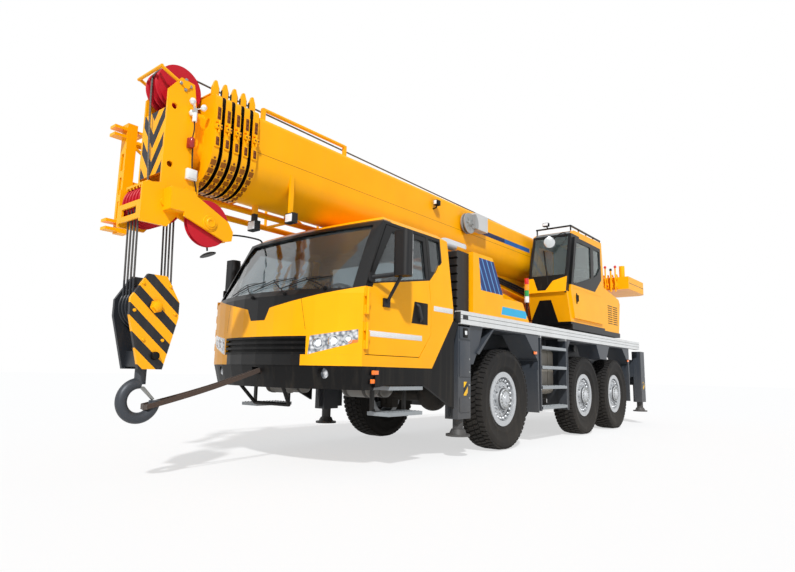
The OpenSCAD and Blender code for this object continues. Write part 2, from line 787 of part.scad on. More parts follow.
// Bumper bar, bowed like the nose above it, with the seats of its fog lamps
module bumper() {
    difference() {
        hull() {
            cab_slice(bumper_low_z, cab_nose - 60, cab_nose - 380, cab_half - 40, cab_nose - 560);
            cab_slice(cab_low_z - 1, cab_nose - 10, cab_nose - 335, cab_half, cab_nose - 560);
        }
        box([cab_nose - 600, -cab_half + 130, bumper_low_z - 1],
            [cab_nose - 470, cab_half - 130, cab_low_z + 1]);
        both_sides() translate(fog_at) rotate([0, 90, 0]) cylinder(h = 200, r = fog_r + run_gap);
        box([cab_nose - 110, -70, cab_low_z - 95], [cab_nose, 70, cab_low_z - 25]);
    }
    translate([cab_nose - 70, 0, cab_low_z - 100]) cylinder(h = 80, r = 18);
}

// Lower side panel from the bumper back past the steps and up along the cab's rear corner
module side_skirt() {
    low_x = cab_rear + 440;
    side_plate([[cab_rear - 118, cab_low_z + 570], [cab_rear + 14, cab_low_z + 570],
        [low_x - 3, cab_low_z - run_gap],
        [cab_nose - 540, cab_low_z - run_gap], [cab_nose - 540, bumper_low_z + 25],
            [cab_nose - 700, bumper_low_z + 45],
        [step_x[0] - 20, bumper_low_z + 45], [cab_rear - 23, 600], [cab_rear - 23, cab_low_z + 350]],
        cab_half - 38, cab_half);
}

// Folding step of bent tube under the bumper
module front_step() {
    r = 20;
    foot = [cab_nose - 330, -385, 645];
    bar(foot, [cab_nose - 330, 205, 645], r);
    bar(foot + [170, -80, bumper_low_z - 620], foot, r);
    bar([cab_nose - 160, 285, bumper_low_z + 25], [cab_nose - 330, 205, 645], r);
    for (y = [-385, 205]) translate([cab_nose - 330, y, 645]) sphere(r = r, $fn = 12);
}

// Bumper with its side panels and tube step, and the grille above it
module cab_front() {
    color("black") {
        bumper();
        both_sides() side_skirt();
        front_step();
        grille();
    }
}

beacon_at = [cab_rear + 950, 700];
// Headlamps let into the nose, fog lamps in the bumper and beacons on the roof
module cab_lamps() {
    color("white") {
        intersection() {
            cab_skin(0, cab_wall);
            lamp_cut(run_gap);
        }
        both_sides() {
            translate(fog_at) rotate([0, 90, 0]) cylinder(h = 62, r = fog_r);
            translate([beacon_at[0], beacon_at[1], cab_roof_z]) cylinder(h = 36, r1 = 80, r2 = 62);
        }
    }
}

seat_z = cab_low_z + cab_wall;
// Driver's and passenger's seats, instrument panel and steering wheel
module cab_interior() {
    wheel_at = [cab_nose - 760, 620, cab_belt_z + 30];
    color("darkslategray") {
        both_sides() translate([cab_rear + 770, 620, seat_z]) {
            box([-260, -250, 0], [260, 250, 430]);
            side_plate([[-260, 420], [-130, 420], [-250, 1130], [-360, 1130]], -240, 240);
        }
        box([cab_nose - 620, -cab_half + 120, seat_z], [cab_nose - 420, cab_half - 120, cab_belt_z + 10]);
        bar([cab_nose - 600, 620, cab_belt_z - 160], wheel_at, 25);
        translate(wheel_at) rotate([0, -40, 0]) {
            rotate_extrude() translate([215, 0]) circle(r = 18);
            for (a = [0, 120, 240]) rotate(a) translate([0, -15, -8]) cube([212, 30, 16]);
        }
    }
}

step_x = [cab_rear + 600, cab_rear + 1180];
step_zs = [560, 830];
step_t = 40;
strut_t = 30;
// Two boarding steps under a door on struts from the cab's floor pan
module cab_steps() {
    for (z = step_zs) box([step_x[0], half_w - 330, z], [step_x[1], half_w - 25, z + step_t]);
    for (x = [step_x[0], step_x[1] - strut_t])
        box([x, half_w - 300, step_zs[0]], [x + strut_t, half_w - 260, cab_low_z]);
}

mirror_y = cab_half + 240;
mirror_x = hinge_x - 310;
mirror_low_z = 2000;
mirror_top_z = 2480;
// Rear-view mirror on an arm from the door's belt
module rear_mirror(s) {
    color("black") side(s) {
        round_column([mirror_x - 60, mirror_y - 110], [mirror_x + 75, mirror_y + 75],
            45, mirror_low_z, mirror_top_z);
        box([mirror_x - 40, cab_half, cab_belt_z - 110], [mirror_x + 60, cab_half + 22, cab_belt_z - 20]);
        bar([mirror_x + 10, cab_half + 17, cab_belt_z - 60],
            [mirror_x + 10, mirror_y - 30, mirror_low_z + 20], 18);
    }
}

module mirror_left() { rear_mirror(1); }
module mirror_right() { rear_mirror(-1); }

/* Engine cover */

hood_front_x = axle_1_x + 870;
hood_inner_y = 430;
hood_outer_y = half_w - 35;
hood_wall = 30;
// Side outlines of the tall cover and of its low tail, drawn in by an inset
function hood_outline(m) = [[hood_front_x - m, deck_top_z - m / 30], [hood_front_x - m, hood_top_z - m],
    [hood_front_x - 511 + m / 3, hood_top_z - m], [hood_front_x - 805 + m, hood_tail_z + 45 - m],
    [hood_front_x - 805 + m, deck_top_z - m / 30]];
function tail_outline(m) = [[hood_front_x - m, deck_top_z - m / 30], [hood_front_x - m, hood_tail_z - m],
    [hood_front_x - 1409 + m / 3, hood_tail_z - m], [hood_front_x - 1634 + m, deck_top_z + 45 - m / 2],
    [hood_front_x - 1634 + m, deck_top_z - m / 30]];

// Tall engine cover on the left, its low tail across to the right of the engine, seated on deck and rail
module engine_cover() {
    color("gold") difference() {
        union() {
            side_plate(hood_outline(0), hood_inner_y, hood_outer_y);
            side_plate(tail_outline(0), -hood_inner_y, hood_outer_y);
        }
        side_plate(hood_outline(hood_wall), hood_inner_y + hood_wall, hood_outer_y - hood_wall);
        side_plate(tail_outline(hood_wall), -hood_inner_y + hood_wall, hood_outer_y - hood_wall);
        box([hood_front_x - 2000, rail_in_y, deck_top_z - 1], [hood_front_x + 1, half_w, rail_top_z]);
    }
}

intake_len = 290;
rib_count = 8;
rib_in = 26;
pipe_r = 55;
pipe_bend_r = 110;
pipe_top_z = 2695;
// Side outline of the intake stack: a column with ribs across its front
function rib_outline() = let (x = hood_front_x + 20, z = deck_top_z,
    p = (hood_top_z - 20 - deck_top_z) / rib_count)
    concat([[x, z]], [for (i = [0 : rib_count - 1], k = [0 : 3])
        [x + intake_len - (k == 0 || k == 3 ? rib_in : 0), z + p * i + [4, 16, p - 16, p - 4][k]]],
        [[x, z + p * rib_count - 4]]);

// Ribbed air intake and the exhaust pipe with its elbow, in front of the engine cover
module stacks() {
    pipe_x = hood_front_x + intake_len + 90;
    color("black") {
        side_plate(rib_outline(), half_w - 360, rail_in_y);
        translate([pipe_x, half_w - 300, deck_top_z]) cylinder(h = pipe_top_z - pipe_bend_r - deck_top_z,
            r = pipe_r);
        translate([pipe_x - pipe_bend_r, half_w - 300, pipe_top_z - pipe_bend_r]) rotate([90, 0, 0])
            rotate_extrude(angle = 90) translate([pipe_bend_r, 0]) circle(r = pipe_r);
        bar([pipe_x - pipe_bend_r + 1, half_w - 300, pipe_top_z],
            [hood_front_x + 60, half_w - 300, pipe_top_z], pipe_r);
    }
}

/* Upper works */

cheek_in_y = cheek_gap / 2;
cheek_out_y = cheek_in_y + cheek_t;
ring_z = deck_top_z + 45;
base_t = 90;
base_top_z = ring_z + 60 + base_t;
luff_foot = [slew_x + luff_foot_x, 0, luff_foot_z];
luff_eye = [slew_x + luff_eye_x, 0, luff_eye_z];
tail_x = slew_x - tail_swing;
luff_dir = (luff_eye - luff_foot) / norm(luff_eye - luff_foot);
luff_angle = asin(luff_dir[2]);

boom_pin_r = 75;
// Cheek plate that carries the boom's foot, with the tail plate behind it
module cheek_plate() {
    side_plate([[slew_x + 800, base_top_z - 1], [slew_x + 800, luff_foot_z + 120],
        [slew_x + 100, luff_foot_z + 260],
        [foot_x + 320, boom_foot_z + 120], [foot_x + 180, boom_foot_z + 260],
            [foot_x - 180, boom_foot_z + 260],
        [foot_x - 330, boom_foot_z], [foot_x - 360, base_top_z - 1]], cheek_in_y, cheek_out_y);
    side_plate([[foot_x - 300, base_top_z - 1], [foot_x - 300, weight_low_z], [tail_x + 60, weight_low_z],
        [tail_x + 60, weight_low_z - 260], [foot_x - 500, base_top_z + 310],
            [foot_x - 500, base_top_z - 60]],
        cheek_in_y, cheek_out_y);
}

// Cover behind the operator's cab, sloped at its tail
module machine_cover() {
    side_plate([[op_rear_x - 20, op_low_z], [op_rear_x - 20, op_low_z + 890],
        [op_rear_x - 500, op_low_z + 810],
        [op_rear_x - 980, op_low_z + 730], [op_rear_x - 1050, op_low_z + 640], [op_rear_x - 930, op_low_z]],
        cheek_out_y + 20, op_out_y - 20);
}

// Slewing platform with the two cheek plates that carry the boom
module turntable() {
    color("gold") {
        translate([slew_x, 0, ring_z + run_gap]) cylinder(h = 60, r = slew_r);
        box([slew_x - 1950, -cheek_out_y - 40, ring_z + 60], [slew_x + 850, cheek_out_y + 40, base_top_z]);
        both_sides() cheek_plate();
        box([slew_x + 560, -cheek_in_y, base_top_z - 1], [slew_x + 640, cheek_in_y, base_top_z + 120]);
        box([foot_x - 360, -cheek_in_y, base_top_z - 1], [foot_x - 300, cheek_in_y, boom_foot_z - 730]);
        bar_y(luff_foot[0], luff_foot_z, -cheek_out_y - 20, cheek_out_y + 20, luff_pin_r);
        bar_y(foot_x, boom_foot_z, -cheek_out_y - 25, cheek_out_y + 25, boom_pin_r);
        // platform on the left that carries the operator's cab and the cover
        box([op_rear_x - 930, cheek_out_y - 1, op_low_z - 90], [slew_x + 1180, op_out_y, op_low_z]);
        machine_cover();
    }
}

op_in_y = cheek_out_y + 45;
op_out_y = op_in_y + op_w;
op_rear_x = slew_x - 500;
op_low_z = base_top_z - 20;
op_front_x = slew_x + 1430;
op_roof_z = op_low_z + 1780;
op_chin_z = op_low_z + 600;
// Side outline of the operator's cab, drawn in by an inset
function op_outline(m) = [[op_rear_x + m, op_low_z + m], [op_front_x - 190 - m, op_low_z + m],
    [op_front_x - m, op_chin_z], [op_front_x - 300 - m, op_roof_z - 100 - m],
    [op_front_x - 430 - m, op_roof_z - 35 - m], [op_rear_x + 60 + m, op_roof_z - m],
    [op_rear_x + m, op_roof_z - 710]];
function op_door_outline(m) = [[op_rear_x + 190 - m, op_low_z + 110 - m],
    [op_front_x - 290 + m, op_low_z + 110 - m], [op_front_x - 120 + m, op_chin_z],
    [op_front_x - 380 + m, op_roof_z - 170 + m], [op_rear_x + 190 - m, op_roof_z - 150 + m]];
function op_front_window(m) = [[op_rear_x + 790 - m, op_chin_z + 180 - m],
    [op_front_x - 250 + m, op_chin_z + 150 - m],
    [op_front_x - 460 + m, op_roof_z - 250 + m], [op_rear_x + 790 - m, op_roof_z - 240 + m]];
function op_rear_window(m) = [[op_rear_x + 300 - m, op_chin_z + 310 - m],
    [op_rear_x + 400 - m, op_chin_z + 210 - m],
    [op_rear_x + 640 + m, op_chin_z + 190 - m], [op_rear_x + 640 + m, op_roof_z - 240 + m],
    [op_rear_x + 300 - m, op_roof_z - 235 + m]];
function op_screen(m) = [[op_front_x - 100, op_chin_z + 40 - m], [op_front_x + 50, op_chin_z + 40 - m],
    [op_front_x - 200, op_roof_z - 150 + m], [op_front_x - 400, op_roof_z - 150 + m]];

// Square-tube guard over the roof's front and left edges, on short posts
module roof_guard() {
    t = 13;
    z = op_roof_z + 40;
    y = op_out_y - 25;
    xs = [op_front_x - 340, op_rear_x + 80];
    box([xs[0] - t, op_in_y + 40, z - t], [xs[0] + t, y + t, z + t]);
    box([xs[1] - t, y - t, z - t], [xs[0] + t, y + t, z + t]);
    box([xs[0] - 10, op_in_y + 50, op_roof_z - 110], [xs[0] + 10, op_in_y + 70, z]);
    for (k = [0 : 4]) let (x = xs[0] + (xs[1] - xs[0]) * k / 4)
        box([x - 10, y - 10, op_roof_z - (k == 0 ? 110 : 60)], [x + 10, y + 10, z]);
}

module operator_cab() {
    color("gold") {
        difference() {
            side_plate(op_outline(0), op_in_y, op_out_y);
            side_plate(op_outline(op_wall), op_in_y + op_wall, op_out_y - op_wall);
            side_plate(op_door_outline(-30), op_out_y - op_wall - 1, op_out_y + 1);
            side_plate(op_screen(0), op_in_y + 50, op_out_y - 50);
            side_plate(op_front_window(0), op_in_y - 1, op_in_y + op_wall + 1);
        }
        roof_guard();
    }
}

module operator_glass() {
    color("black") {
        intersection() {
            difference() {
                side_plate(op_outline(10), op_in_y, op_out_y);
                side_plate(op_outline(10 + glass_t), op_in_y - 1, op_out_y + 1);
            }
            side_plate(op_screen(-run_gap), op_in_y + 50 + run_gap, op_out_y - 50 - run_gap);
        }
        side_plate(op_front_window(-run_gap), op_in_y + 10, op_in_y + 10 + glass_t);
    }
}

op_door_t = 36;
// Sliding door that runs along the outside of the cab's left wall, with its panes
module operator_door() {
    color("gold") {
        difference() {
            side_plate(op_door_outline(0), op_out_y + run_gap, op_out_y + run_gap + op_door_t);
            side_plate(op_front_window(0), op_out_y - 1, op_out_y + 100);
            side_plate(op_rear_window(0), op_out_y - 1, op_out_y + 100);
        }
        side_plate(op_front_window(-run_gap), op_out_y + 14, op_out_y + 14 + glass_t);
        side_plate(op_rear_window(-run_gap), op_out_y + 14, op_out_y + 14 + glass_t);
    }
}

module operator_seat() {
    color("darkslategray") translate([op_rear_x + 560, op_in_y + op_w / 2, op_low_z + op_wall]) {
        box([-230, -230, 0], [230, 230, 480]);
        side_plate([[-240, 470], [-110, 470], [-230, 1230], [-340, 1230]], -220, 220);
        both_sides() box([-100, 240, 300], [300, 300, 640]);
        both_sides() box([-60, 229, 300], [60, 241, 400]);
    }
}

weight_front_x = foot_x - 330;
weight_corner_r = 220;
weight_post_r = 60;
// Counterweight: a slab with round rear corners, open in the middle for the winch
// A lifting post stands on each side
module counterweight() {
    color("gold") {
        difference() {
            round_column([tail_x, -weight_w / 2], [weight_front_x + weight_corner_r, weight_w / 2],
                weight_corner_r,
                weight_low_z, weight_top_z);
            box([tail_x + 180, -cheek_out_y - 60, weight_low_z - 1],
                [weight_front_x + weight_corner_r, cheek_out_y + 60, weight_top_z + 1]);
            box([weight_front_x, -weight_w, weight_low_z - 1],
                [weight_front_x + 2 * weight_corner_r, weight_w, weight_top_z + 1]);
        }
        both_sides() translate([weight_front_x - 120, weight_w / 2 - 170, weight_top_z - 1])
            cylinder(h = 260, r = weight_post_r);
    }
}

winch_x = tail_x + 460;
winch_z = weight_low_z - 10;
// Hoist winch: drum between bearing plates on the inside of the tail plates
module winch() {
    color("gray") {
        bar_y(winch_x, winch_z, -cheek_in_y + 40, cheek_in_y - 40, drum_r);
        both_sides() {
            bar_y(winch_x, winch_z, cheek_in_y - 60, cheek_in_y - 20, drum_r + 55);
            box([winch_x - 120, cheek_in_y - 21, winch_z - 110],
                [winch_x + 120, cheek_in_y, winch_z + 110]);
        }
    }
}

luff_len = norm(luff_eye - luff_foot);
barrel_len = luff_len - 260;
bore_start = 165;
luff_pin_r = 55;
eye_w = 200;
// Luffing cylinder's barrel on its foot pin
module luff_barrel() {
    color("gold") translate(luff_foot) rotate([0, -luff_angle, 0]) difference() {
        union() {
            bar([120, 0, 0], [barrel_len, 0, 0], barrel_r);
            box([0, -eye_w / 2, -100], [bore_start - 30, eye_w / 2, 100]);
            bar_y(0, 0, -eye_w / 2, eye_w / 2, 110);
        }
        bar_y(0, 0, -eye_w, eye_w, luff_pin_r + run_gap);
        bar([bore_start, 0, 0], [barrel_len + 1, 0, 0], rod_r + run_gap);
    }
}

module luff_rod() {
    color("silver") translate(luff_foot) rotate([0, -luff_angle, 0]) {
        bar([bore_start + 15, 0, 0], [luff_len - 60, 0, 0], rod_r);
        bar_y(luff_len, 0, -eye_w / 2, eye_w / 2, 118);
    }
}

/* Boom */

section_step = boom_wall + boom_clear;
function section_w(i) = boom_w - 2 * section_step * i;
function section_h(i) = boom_h - 2 * section_step * i;

// Boom section outline: flat top with round corners over a half-round belly
module boom_outline(w, h) {
    r = 60;
    translate([0, -h / 2 + w / 2]) circle(r = w / 2);
    translate([-w / 2, -h / 2 + w / 2]) square([w, h - w / 2 - r]);
    translate([-w / 2 + r, 0]) square([w - 2 * r, h / 2]);
    for (s = [-1, 1]) translate([s * (w / 2 - r), h / 2 - r]) circle(r = r);
}

// Tube of boom outline from one place to another along the boom
module boom_tube(x0, x1, w, h, wall) {
    translate([x0, 0, boom_z]) rotate([90, 0, 90]) linear_extrude(x1 - x0) difference() {
        boom_outline(w, h);
        boom_outline(w - 2 * wall, h - 2 * wall);
    }
}

collar_len = 75;
collar_t = 28;
// A section that is fully out still lies this far in the one round it
section_hold = 1460;
section_back_x = mouth_x - section_travel - section_hold;
// Telescopic section with the collar at its mouth and the rope guide on top of it
module section(i) {
    color("gold") {
        boom_tube(section_back_x + 130 * i, mouth_x + i * collar_pitch, section_w(i), section_h(i),
            boom_wall);
        boom_tube(mouth_x + i * collar_pitch - collar_len, mouth_x + i * collar_pitch,
            boom_w + 2 * collar_t,
            boom_h + 2 * collar_t, collar_t + section_step * i + 1);
        slide_pads(mouth_x + i * collar_pitch, i);
        collar_fittings(mouth_x + i * collar_pitch - collar_len);
    }
}

// Ring of slide pads in a section's mouth, on which the next section runs
module slide_pads(x, i) {
    boom_tube(x - 70, x, section_w(i) - boom_wall, section_h(i) - boom_wall,
        boom_wall / 2 + boom_clear - run_gap);
}

tab_t = 30;
tab_h = 165;
block_t = 12;
// Pointed lifting tabs on top of a collar, adjusting blocks on its sides and a rope roller between the tabs
module collar_fittings(x) {
    top_z = boom_z + boom_h / 2 + collar_t;
    side_y = boom_w / 2 + collar_t;
    both_sides() {
        side_plate([[x, top_z - 40], [x + collar_len, top_z - 40], [x + collar_len, top_z + tab_h * 0.55],
            [x + collar_len * 0.65, top_z + tab_h], [x + collar_len * 0.35, top_z + tab_h],
                [x, top_z + tab_h * 0.55]],
            side_y - 110, side_y - 110 + tab_t);
        for (z = [boom_z - 90, boom_z + 160])
            box([x + 8, side_y - 20, z], [x + collar_len - 8, side_y + block_t, z + 170]);
    }
    bar_y(x + collar_len / 2, top_z + 45, -side_y + 100, side_y - 100, 14);
}

module section_1() { section(1); }
module section_2() { section(2); }
module section_3() { section(3); }
module section_4() { section(4); }

lug_t = 45;
foot_r = 180;
// Lug on each side of the luffing cylinder's upper eye
module luff_lug() {
    belly_z = boom_z - boom_h / 2 + 40;
    side_plate([[luff_eye[0] - 170, belly_z], [luff_eye[0] + 330, belly_z],
        [luff_eye[0] + 140, luff_eye_z - 90],
        [luff_eye[0], luff_eye_z - 130], [luff_eye[0] - 110, luff_eye_z - 80]],
            eye_w / 2 + 6, eye_w / 2 + 6 + lug_t);
    bar_y(luff_eye[0], luff_eye_z, eye_w / 2 + 6, eye_w / 2 + lug_t + 40, 85);
}

// Foot plate on one side of the boom
module foot_plate() {
    side_plate([[foot_x + 400, boom_z - boom_h / 2 + 130], [foot_x + 400, boom_z + boom_h / 2 - 90],
        [foot_x - 60, boom_z + 120], [foot_x - foot_r + 10, boom_foot_z],
            [foot_x - 60, boom_foot_z - foot_r + 10]],
        boom_w / 2 - 90, boom_w / 2);
}

reel_at = [mouth_x - 4150, boom_z + 150];
reel_r = 165;
// Cable reel and its switch box on the boom's left side
module cable_reel() {
    y = boom_w / 2 - 6;
    bar_y(reel_at[0], reel_at[1], y, y + 60, 45);
    bar_y(reel_at[0], reel_at[1], y + 40, y + 55, reel_r);
    bar_y(reel_at[0], reel_at[1], y + 54, y + 95, reel_r - 55);
    bar_y(reel_at[0], reel_at[1], y + 94, y + 110, reel_r);
    box([reel_at[0] - 485, y, reel_at[1] - 70],
        [reel_at[0] - 90 - reel_r + 160, y + 155, reel_at[1] + 190]);
}

guard_bar_xs = [mouth_x - 1430, mouth_x - 180];
lamp_size = [70, 130, 110];
// Tube over the boom's left top edge, and the two floodlights below the boom
module boom_fittings() {
    top_z = boom_z + boom_h / 2;
    bar([guard_bar_xs[0], boom_w / 2 - 50, top_z + 110], [guard_bar_xs[1], boom_w / 2 - 50, top_z + 110],
        22);
    for (x = guard_bar_xs) box([x - 20, boom_w / 2 - 70, top_z - 14],
        [x + 20, boom_w / 2 - 30, top_z + 120]);
    // on the left side
    box([mouth_x - 610, boom_w / 2 - 20, boom_z - 560], [mouth_x - 560, boom_w / 2 + 8, boom_z - 90]);
    translate([mouth_x - 610, boom_w / 2 - 40, boom_z - 640]) cube(lamp_size);
    // under the belly
    box([mouth_x - 390, -25, boom_z - boom_h / 2 - 180], [mouth_x - 340, 25, boom_z - boom_h / 2 + 6]);
    translate([mouth_x - 400, -65, boom_z - boom_h / 2 - 280]) cube(lamp_size);
}

// Outer boom section with its foot, the lugs of the luffing cylinder and what is fixed to its outside
module boom_base() {
    color("gold") difference() {
        union() {
            boom_tube(foot_x + 150, mouth_x, boom_w, boom_h, boom_wall);
            slide_pads(mouth_x, 0);
            boom_tube(mouth_x - collar_len, mouth_x, boom_w + 2 * collar_t, boom_h + 2 * collar_t,
                collar_t + 1);
            collar_fittings(mouth_x - collar_len);
            translate([foot_x + 150, 0, boom_z]) rotate([90, 0,
                90]) linear_extrude(60) boom_outline(boom_w, boom_h);
            both_sides() {
                foot_plate();
                luff_lug();
            }
            cable_reel();
            boom_fittings();
        }
        bar_y(foot_x, boom_foot_z, -boom_w, boom_w, boom_pin_r + run_gap);
        box([luff_eye[0] - 150, -eye_w / 2 - 5, luff_eye_z - 150],
            [luff_eye[0] + 150, eye_w / 2 + 5, luff_eye_z + 140]);
    }
}

jib_y = -boom_w / 2 - 315;
jib_half = 230;
jib_low_z = boom_z - 370;
jib_top_z = boom_z + 180;
jib_rear_x = slew_x + 1700;
jib_front_x = head_x + 120;
chord_r = 38;
brace_r = 20;
jib_bays = 7;
bay_len = (jib_front_x - jib_rear_x) / jib_bays;

// One side of the lattice: two chords with posts and diagonals between them
module jib_side(y) {
    zs = [jib_low_z, jib_top_z];
    for (z = zs) bar([jib_rear_x, y, z], [jib_front_x, y, z], chord_r, 10);
    for (i = [0 : jib_bays]) let (x = jib_rear_x + i * bay_len)
        bar([x, y, jib_low_z], [x, y, jib_top_z], brace_r, 6);
    for (i = [0 : jib_bays - 1]) let (x = jib_rear_x + i * bay_len, up = i % 2)
        bar([x, y, zs[up]], [x + bay_len, y, zs[1 - up]], brace_r, 6);
}

// Post at the jib's front end with three slots and the forked lugs that pin it to the boom's head
module jib_post(end_y) {
    x = jib_front_x + 80;
    low_z = boom_z - 910;
    difference() {
        box([x, jib_y, low_z], [x + 100, jib_y + 120, jib_top_z + 60]);
        for (z = [150, 400, 650]) box([x - 1, jib_y + 35, low_z + z],
            [x + 101, jib_y + 85, low_z + z + 180]);
    }
    for (z = [low_z + 70, jib_top_z - 48], dz = [-55, 25])
        box([x + 60, jib_y + 5, z + dz], [x + 225, jib_y + 115, z + dz + 30]);
    for (z = [jib_low_z, jib_top_z]) {
        box([jib_front_x - 14, jib_y + 20, z - 14], [x + 1, jib_y + 100, z + 14]);
        box([jib_front_x - 14, jib_y - end_y, z - 14], [jib_front_x + 14, jib_y + end_y, z + 14]);
    }
}

// Lattice fly jib stowed along the right of the boom, hung from two brackets on it
module fly_jib() {
    ys = [jib_y - jib_half, jib_y + jib_half];
    end_y = jib_half - chord_r * cos(18) - run_gap;
    color("gold") {
        for (y = ys) jib_side(y);
        for (i = [0 : jib_bays - 1], z = [jib_low_z, jib_top_z]) let (x = jib_rear_x + i * bay_len)
            bar([x, jib_y - end_y, z], [x, jib_y + end_y, z], brace_r, 6);
        jib_post(end_y);
        for (i = [1, jib_bays - 2]) let (x = jib_rear_x + i * bay_len) {
            box([x - 60, ys[1] - 18, jib_low_z], [x + 60, ys[1] + 18, jib_top_z]);
            box([x - 60, ys[1], boom_z - 60], [x + 60, -boom_w / 2 - run_gap, boom_z + 60]);
        }
    }
}

head_half = section_w(5) / 2;
top_axle = [head_x + 135, boom_z + 480];
low_axle = [head_x + 250, boom_z - 720];
low_sheave_r = sheave_r - 25;
side_axle = [head_x - 150, boom_z - 850];
side_sheave_y = head_half + head_plate_t + 75;
head_front_x = head_x + 300;
nose_x = head_x + 465;
nose_low_z = low_axle[1] - low_sheave_r - 20;
sheave_pitch = 60;
jib_pin_x = head_front_x - 70;
jib_pin_zs = [top_axle[1] - 250, low_axle[1] + 375];
arm_t = 24;

// Side plate of the head, with the nose at its foot that holds the lower sheaves
module head_plate() {
    difference() {
        side_plate([[head_x, boom_z + 270], [head_x + 40, boom_z + 520], [head_x + 180, boom_z + 540],
            [head_front_x, boom_z + 380], [head_front_x, low_axle[1] + 180], [nose_x, low_axle[1] + 140],
            [nose_x, nose_low_z], [head_x + 210, nose_low_z], [head_x - 80, boom_z - 570],
                [head_x - 80, boom_z - 400],
            [head_x, boom_z - 380]], head_half, head_half + head_plate_t);
        for (z = jib_pin_zs) bar_y(jib_pin_x, z, 0, half_w, jib_pin_r);
    }
}

// Rope keepers across the nose: a slotted plate in front and a toothed bar over the lower sheaves
module nose_guard() {
    bar_z = low_axle[1] + low_sheave_r - 50;
    difference() {
        box([nose_x - 20, -head_half - 1, nose_low_z + 30], [nose_x, head_half + 1, nose_low_z + 200]);
        box([nose_x - 21, -head_half + 60, nose_low_z + 80],
            [nose_x + 1, head_half - 60, nose_low_z + 150]);
    }
    box([nose_x - 90, -head_half - 1, bar_z], [nose_x - 50, head_half + 1, bar_z + 22]);
    for (k = [-3 : 3]) box([nose_x - 90, k * sheave_pitch - 6, bar_z - 22],
        [nose_x - 50, k * sheave_pitch + 6, bar_z + 1]);
}

// Tube frame in front of the top sheaves
module top_frame() {
    front = [head_x + 385, boom_z + 570];
    y = head_half + head_plate_t / 2;
    bar_y(front[0], front[1], -y - 16, y + 16, 16);
    both_sides() bar([head_x + 190, y, boom_z + 490], [front[0], y, front[1]], 16);
}

// Arm of the single-line sheave, folded back along the left of the head
module side_arm() {
    for (y = [head_half + head_plate_t - 1, side_sheave_y + 35])
        side_plate([[head_x + 120, boom_z - 570], [head_x + 120, boom_z - 840],
            [side_axle[0] - 180, side_axle[1] - 150],
            [side_axle[0] - 250, side_axle[1] - 130], [side_axle[0] - 260, side_axle[1] - 40],
            [side_axle[0] - 200, side_axle[1] + 50]], y, y + arm_t);
    box([head_x + 20, head_half + head_plate_t - 1, boom_z - 800],
        [head_x + 260, side_sheave_y + 35 + arm_t, boom_z - 590]);
    bar_y(side_axle[0], side_axle[1], head_half + head_plate_t, side_sheave_y + 75, 60);
    sheave(side_axle, side_sheave_y, sheave_w, sheave_r);
}

// Innermost section with the head's plates, its sheaves and the folded single-line sheave on its left
module boom_head() {
    color("gold") {
        boom_tube(section_back_x + 650, head_x + 40, section_w(5), section_h(5), boom_wall);
        both_sides() head_plate();
        box([head_front_x - 30, -head_half, low_axle[1] + 280], [head_front_x, head_half, boom_z + 200]);
        for (a = [top_axle, low_axle]) bar_y(a[0], a[1], -head_half - 40, head_half + 40, 40);
        for (k = [-1 : 1]) sheave(top_axle, k * 90, 60, sheave_r);
        for (k = [-2.5 : 2.5]) sheave(low_axle, k * sheave_pitch, sheave_w, low_sheave_r);
        nose_guard();
        top_frame();
        side_arm();
    }
}

sheave_w = 46;
groove_in = 38;
// Grooved rope sheave across the boom
module sheave(at, y, w, r) {
    translate([at[0], y - w / 2, at[1]]) rotate([-90, 0, 0]) rotate_extrude()
        polygon([[30, 0], [r, 0], [r - 6, 6], [r - groove_in, w / 2 - 10], [r - groove_in, w / 2 + 10],
            [r - 6, w - 6],
            [r, w], [30, w]]);
}

block_x = low_axle[0] - 30;
block_half = 165;
fall_top_z = low_axle[1];
// Hook block on its falls of rope: cheeks, sheaves and crosshead
module hook_block() {
    r_top = low_sheave_r - groove_in + rope_r + run_gap;
    r_low = block_sheave_r - groove_in + rope_r + run_gap;
    color("black") {
        for (k = [-1.5 : 1.5], s = [-1, 1])
            bar([low_axle[0] + s * r_top, k * sheave_pitch, low_axle[1]],
                [block_x + s * r_low, k * sheave_pitch, block_axle_z], rope_r);
        for (k = [-1.5 : 1.5]) sheave([block_x, block_axle_z], k * sheave_pitch, sheave_w, block_sheave_r);
        both_sides() side_plate([[block_x - 90, block_axle_z + 290], [block_x + 90, block_axle_z + 290],
            [block_x + 230, block_axle_z + 60], [block_x + 230, block_axle_z - 90],
                [block_x + 110, block_axle_z - 560],
            [block_x - 110, block_axle_z - 560], [block_x - 230, block_axle_z - 90],
                [block_x - 230, block_axle_z + 60]],
            block_half - 35, block_half);
        bar_y(block_x, block_axle_z, -block_half - 25, block_half + 25, 45);
        difference() {
            box([block_x - 90, -block_half + 34, crosshead_low_z],
                [block_x + 90, block_half - 34, crosshead_top_z]);
            translate([block_x, 0, crosshead_low_z - 1]) cylinder(h = 300, r = shank_r + run_gap);
        }
    }
}

crosshead_low_z = block_axle_z - 540;
crosshead_top_z = block_axle_z - 400;
shank_r = 50;
hook_r = 155;
hook_z = block_axle_z - 840;
// Swivelling hook: shank, nut and bowl open to the rear
module hook() {
    color("dimgray") {
        translate([block_x, 0,
            hook_z + hook_r - 10]) cylinder(h = crosshead_top_z + 1 - hook_z - hook_r + 10, r = shank_r);
        translate([block_x, 0, crosshead_top_z + run_gap]) cylinder(h = 60, r = 85);
        translate([block_x, 0, hook_z]) rotate([90, 0, 0]) rotate([0, 0, 180]) rotate_extrude(angle = 270)
            translate([hook_r, 0]) circle(r = shank_r);
    }
}

